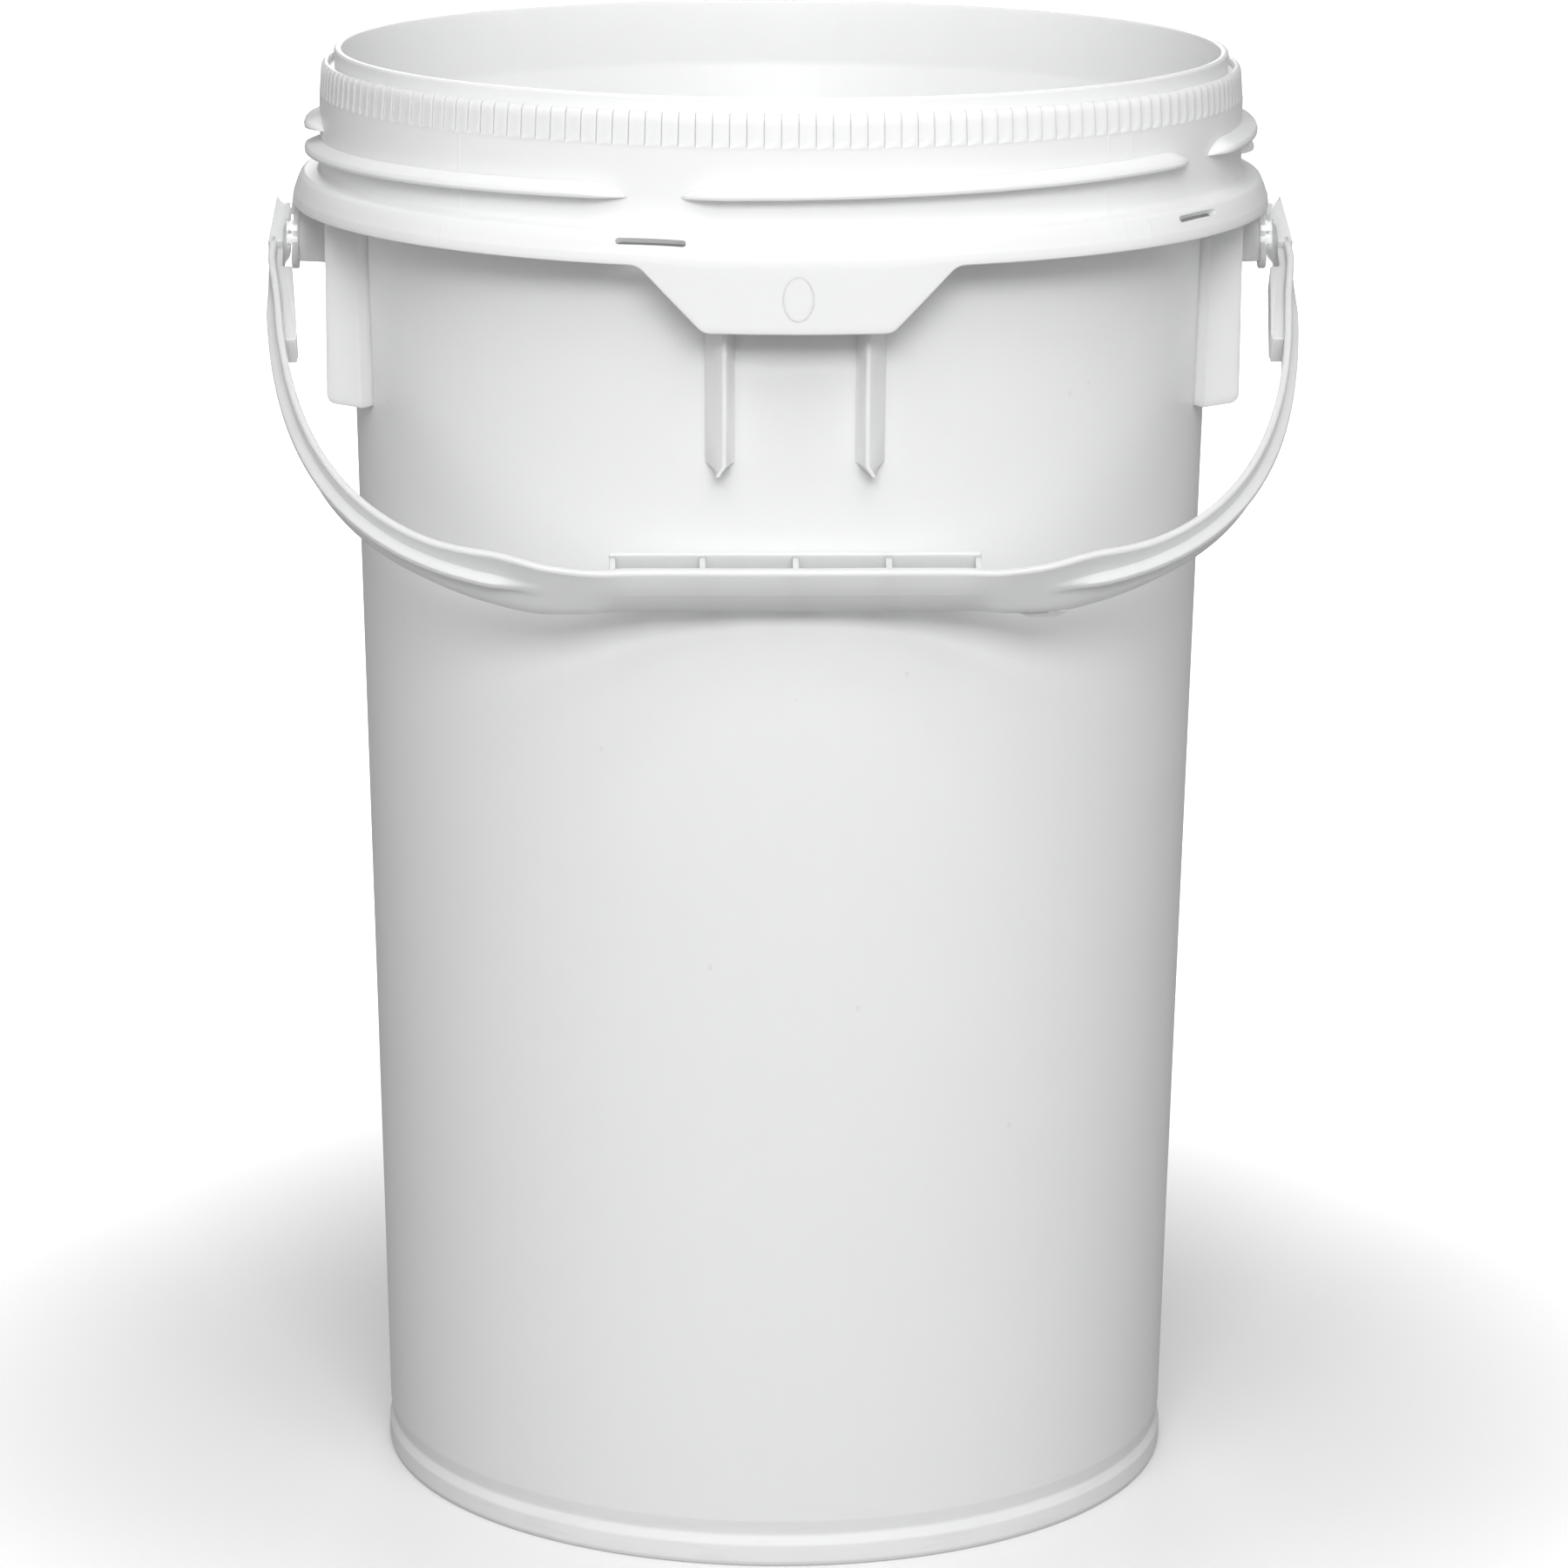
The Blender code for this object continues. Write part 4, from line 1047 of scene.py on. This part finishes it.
def bail_eye(sx, side):
    """Thick pad that snaps over the split pins: two round layers, a lead-in ramp and an open hole."""
    start, end = EYE_S
    ramp_out, ramp_in = EYE_RAMP
    fade, fade_x = EYE_FADE
    thick = EYE_OUT_X[0] - EYE_IN_X
    tilt = (EYE_OUT_X[1] - EYE_OUT_X[0]) / (end - start)
    plain = end - start - EYE_PLAIN_FROM
    sections = []
    for i in range(EYE_STEPS + 1):
        w = EYE_HALF_W * (2 * i / EYE_STEPS - 1)
        face = rounded([
            (EYE_IN_X, end), (EYE_IN_X, start + 0.9, 1.1), (EYE_IN_X + 0.25 * thick, start - 0.2, 0.8),
            (EYE_IN_X + 0.45 * thick, start + EYE_NOTCH, 0.5), (EYE_IN_X + 0.7 * thick, start - 0.6, 1.0),
            (EYE_OUT_X[0], start + 1.4, 1.3), (EYE_OUT_X[1], end),
        ], steps=4)
        inner_steps = range(1, EYE_INNER_STEPS + 1)
        face[1:1] = [(EYE_IN_X, end - plain * k / EYE_INNER_STEPS) for k in inner_steps]
        cut = smooth((w - EYE_RAMP_W[0]) / (EYE_RAMP_W[1] - EYE_RAMP_W[0]))
        section = []
        for x, s in face:
            ramp = ramp_in + (ramp_out - ramp_in) * (x - EYE_IN_X) / thick
            if s < 4.0:
                s = max(s, start - 2.0 + (ramp - start + 2.0) * cut)
            drawn = smooth((s - fade) / EYE_FADE_LONG)
            outer = EYE_OUT_X[0] + tilt * (s - start)
            x = x + (fade_x - x) * drawn if x < outer - 1.2 else x
            section.append(bail_point(sx * x, s, w))
        sections.append(section)
    pad = soften(make_object(f"bail_eye_{side}", *loft(sections)), 0.45)
    settle(pad)
    turn = radians(EYE_SLOT_TURN)
    half = EYE_SLOT_HALF
    slot = [(EYE_SLOT_REACH, half), *arc((0.0, 0.0), half, 90.0, 270.0, 24), (EYE_SLOT_REACH, -half)]
    slot = [(u * cos(turn) - v * sin(turn), u * sin(turn) + v * cos(turn)) for u, v in slot]
    pocket = arc((0.0, 0.0), EYE_POCKET_R, 0.0, 352.5, 47)
    cuts = ((slot, EYE_IN_X - EYE_SLOT_OVER, EYE_SLOT_X), (pocket, EYE_LAYER_X, EYE_SKIN_X))
    carve(pad, [
        prism("eye_cutter", outline, lambda u, v, depth: bail_point(sx * depth, u, v), x0, x1)
        for outline, x0, x1 in cuts
    ])
    # the eye gets the darker, glowing copy of the bail's plastic: painted shade and a painted glow
    piece(pad, "bail", PAD_SHADE_AND_GLOW, (f"bail_eye_{side}",))


def stop_lug(sx, side):
    """Slab inside an arm that fills the space beside the neck when the bail stands up."""
    first, last = LUG_S
    step_s, step = LUG_STEP
    lean = (LUG_IN_X[1] - LUG_IN_X[0]) / (last - first)
    at_step = LUG_IN_X[0] + lean * (step_s - first)
    shank_s, shank_x = LUG_SHANK
    outline = rounded([
        (LUG_OUT_X[0] + 2.0, shank_s), (shank_x, shank_s), (shank_x, first, 0.8), (LUG_IN_X[0], first, 0.8),
        (at_step, step_s, 0.3), (at_step + step, step_s + 0.5, 0.3), (LUG_IN_X[1] + step, last, 2.4),
        (LUG_OUT_X[1], last),
    ], steps=5)
    lug = prism(
        f"stop_lug_{side}", outline, lambda u, v, depth: bail_point(sx * u, v, depth),
        -LUG_HALF_W, LUG_HALF_W,
    )
    piece(soften(lug, 0.5), "bail", BAIL, (f"stop_lug_{side}",))


def grip_back():
    """The upright flange behind the grip, and the ribs that tie it to the strap."""
    inner, outer = FLANGE_S
    low, high = FLANGE_W
    outline = rounded(
        [(outer, low, 0.5), (outer, high, 0.6), (inner, high, 0.6), (inner, low, 0.5)], closed=True,
    )
    flange = prism(
        "grip_flange", outline, lambda u, v, depth: bail_point(depth, u, v), -GRIP_HALF, GRIP_HALF,
    )
    piece(soften(flange, 0.4), "bail", BAIL, ("grip_flange",))
    for number, x in enumerate(GRIP_RIBS):
        front = GRIP_S - GRIP_BOW * (x / GRIP_HALF) ** 2 - GRIP_CROWN * 0.3 - GRIP_WEB + 0.9
        outline = [
            (outer - 0.4, low + 0.2), (front - 1.4, low + 0.2), (front - 1.2, GRIP_RIB_TOP[1]),
            (outer - 0.4, GRIP_RIB_TOP[0]),
        ]
        name = f"grip_rib_{number + 1}"
        rib = prism(
            name, outline, lambda u, v, depth: bail_point(depth, u, v),
            x - GRIP_RIB_THICK / 2, x + GRIP_RIB_THICK / 2,
        )
        piece(soften(rib, 0.3), "bail", BAIL, (name,))


def gate_lump():
    """The trimmed runner: a low lump on the strap's lower edge beside the grip."""
    low_x, high_x = GATE_LUMP
    right_arm = strap_line()[:ARM_STEPS + 3]
    sections = []
    for i in range(GATE_STEPS + 1):
        x = low_x + (high_x - low_x) * i / GATE_STEPS
        swell = smooth(min(i, GATE_STEPS - i) / GATE_RUN_IN)
        near = min(right_arm, key=lambda p: abs(p[0] - x))
        half = arm_half_width(near[2])
        centre_s = near[1] - GATE_IN
        edge = -half - GATE_PROUD * swell
        outline = rounded([
            (centre_s - GATE_HALF, -half + GATE_SUNK), (centre_s - GATE_HALF, edge, 0.5),
            (centre_s + GATE_HALF, edge, 0.5), (centre_s + GATE_HALF, -half + GATE_SUNK),
        ], steps=3)
        sections.append([bail_point(x, s, w) for s, w in outline])
    piece(make_object("bail_gate_lump", *loft(sections)), "bail", BAIL)


# ---------------- set

CAMERA_REACH = 1.876  # metres from the pail's axis
CAMERA_HEIGHT = 0.6898
CAMERA_AZIMUTH = -2.0
CAMERA_YAW = 0.067
CAMERA_PITCH = 13.73
CAMERA_ROLL = 0.306
CAMERA_SENSOR = 36.0  # millimetres
CAMERA_LENS = 129.9
CAMERA_CLIP = (0.05, 50.0)  # metres

LIGHTS = (
    # name, azimuth, distance from the axis and height in metres, width and height, power
    ("soft_left", -30.0, 2.5, 1.0, (0.8, 1.6), 4.0),
    ("soft_right", 30.0, 2.5, 1.0, (0.8, 1.6), 4.0),
    ("side_left", -80.0, 2.5, 1.0, (0.8, 1.6), 5.0),
    ("side_right", 80.0, 2.5, 1.0, (0.8, 1.6), 5.0),
    ("key", 0.0, 2.9, 1.9, (1.8, 0.9), 54.0),
    ("over_front", 0.0, 1.6, 2.6, (2.4, 1.2), 24.0),
    ("back", 180.0, 3.2, 0.9, (0.9, 1.8), 24.0),
)
LIGHT_AIM = 0.24  # height that the lights point at, in metres
WORLD_LIGHT = 0.27
FLOOR_REACH = 9.0
FLOOR_GLOW = 1.0  # how much the far floor is lifted towards white
FLOOR_GLOW_FROM = (0.16, 0.62)  # from and to these distances, in metres
FLOOR_COLOUR = (0.9, 0.9, 0.9, 1.0)
FLOOR_ROUGH = 0.9
PLAIN_WHITE = (1.0, 1.0, 1.0, 1.0)


def camera():
    """A long lens in front of the pail, a little above its rim."""
    lens = bpy.data.cameras.new("camera")
    lens.sensor_width = CAMERA_SENSOR
    lens.lens = CAMERA_LENS
    lens.clip_start, lens.clip_end = CAMERA_CLIP
    eye = bpy.data.objects.new("camera", lens)
    bpy.context.collection.objects.link(eye)
    place = Matrix.Translation(Vector(polar(CAMERA_REACH, CAMERA_AZIMUTH, CAMERA_HEIGHT)))
    heading = Matrix.Rotation(radians(CAMERA_AZIMUTH - CAMERA_YAW), 4, "Z")
    pitch = Matrix.Rotation(radians(90.0 - CAMERA_PITCH), 4, "X")
    roll = Matrix.Rotation(radians(CAMERA_ROLL), 4, "Z")
    eye.matrix_world = place @ heading @ pitch @ roll
    bpy.context.scene.camera = eye


def lights():
    """Soft panels round the pail, all aimed at its middle, and an even pale surround."""
    centre = Vector((0.0, 0.0, LIGHT_AIM))
    for name, azimuth, distance, height, size, power in LIGHTS:
        panel = bpy.data.lights.new(name, "AREA")
        panel.shape = "RECTANGLE"
        panel.size, panel.size_y = size
        panel.energy = power
        lamp = bpy.data.objects.new(name, panel)
        lamp.location = polar(distance, azimuth, height)
        lamp.rotation_euler = (centre - lamp.location).to_track_quat("-Z", "Y").to_euler()
        lamp.visible_camera = False
        bpy.context.collection.objects.link(lamp)
    world = bpy.data.worlds.new("studio")
    world.use_nodes = True
    background = world.node_tree.nodes["Background"]
    background.inputs["Color"].default_value = PLAIN_WHITE
    background.inputs["Strength"].default_value = WORLD_LIGHT
    bpy.context.scene.world = world


def floor():
    """A plain pale studio floor that turns white far away from the pail."""
    reach = FLOOR_REACH / MM
    corners = [(-reach, -reach, 0.0), (reach, -reach, 0.0), (reach, reach, 0.0), (-reach, reach, 0.0)]
    ground = make_object("studio_floor", corners, [(0, 1, 2, 3)])
    material = bpy.data.materials.new("studio_floor")
    material.use_nodes = True
    tree = material.node_tree
    shader = tree.nodes["Principled BSDF"]
    shader.inputs["Base Color"].default_value = FLOOR_COLOUR
    shader.inputs["Roughness"].default_value = FLOOR_ROUGH
    shader.inputs["Specular IOR Level"].default_value = 0.0
    shader.inputs["Emission Color"].default_value = PLAIN_WHITE
    distance = add(tree, "ShaderNodeVectorMath", operation="LENGTH")
    tree.links.new(add(tree, "ShaderNodeTexCoord").outputs["Object"], distance.inputs[0])
    glow = ramp(tree, distance.outputs["Value"], *FLOOR_GLOW_FROM, 0.0, FLOOR_GLOW)
    tree.links.new(glow, shader.inputs["Emission Strength"])
    ground.data.materials.append(material)
    ground.visible_diffuse = False
    ground.visible_glossy = False


# ---------------- make it all

pail_shell()
ratchet_band()
neck_and_collar()
ring_mark()
for start_number in range(2):
    for run_number, (run_first, run_last) in enumerate(THREAD_RUNS):
        thread_ridge(start_number, run_number, run_first, run_last)
tab_rib(-1, "tab_rib_left")
tab_rib(1, "tab_rib_right")
for side_sign, side_name in ((-1, "left"), (1, "right")):
    side_plate(side_sign, -1, f"side_plate_{side_name}_front")
    side_plate(side_sign, 1, f"side_plate_{side_name}_rear")
    ear(side_sign, side_name)
    snap_pin(side_sign, 1, f"pin_{side_name}_upper")
    snap_pin(side_sign, -1, f"pin_{side_name}_lower")
    bail_eye(side_sign, side_name)
    stop_lug(side_sign, side_name)
strap()
grip_back()
gate_lump()
camera()
lights()
floor()
bpy.context.scene.view_settings.view_transform = "Standard"
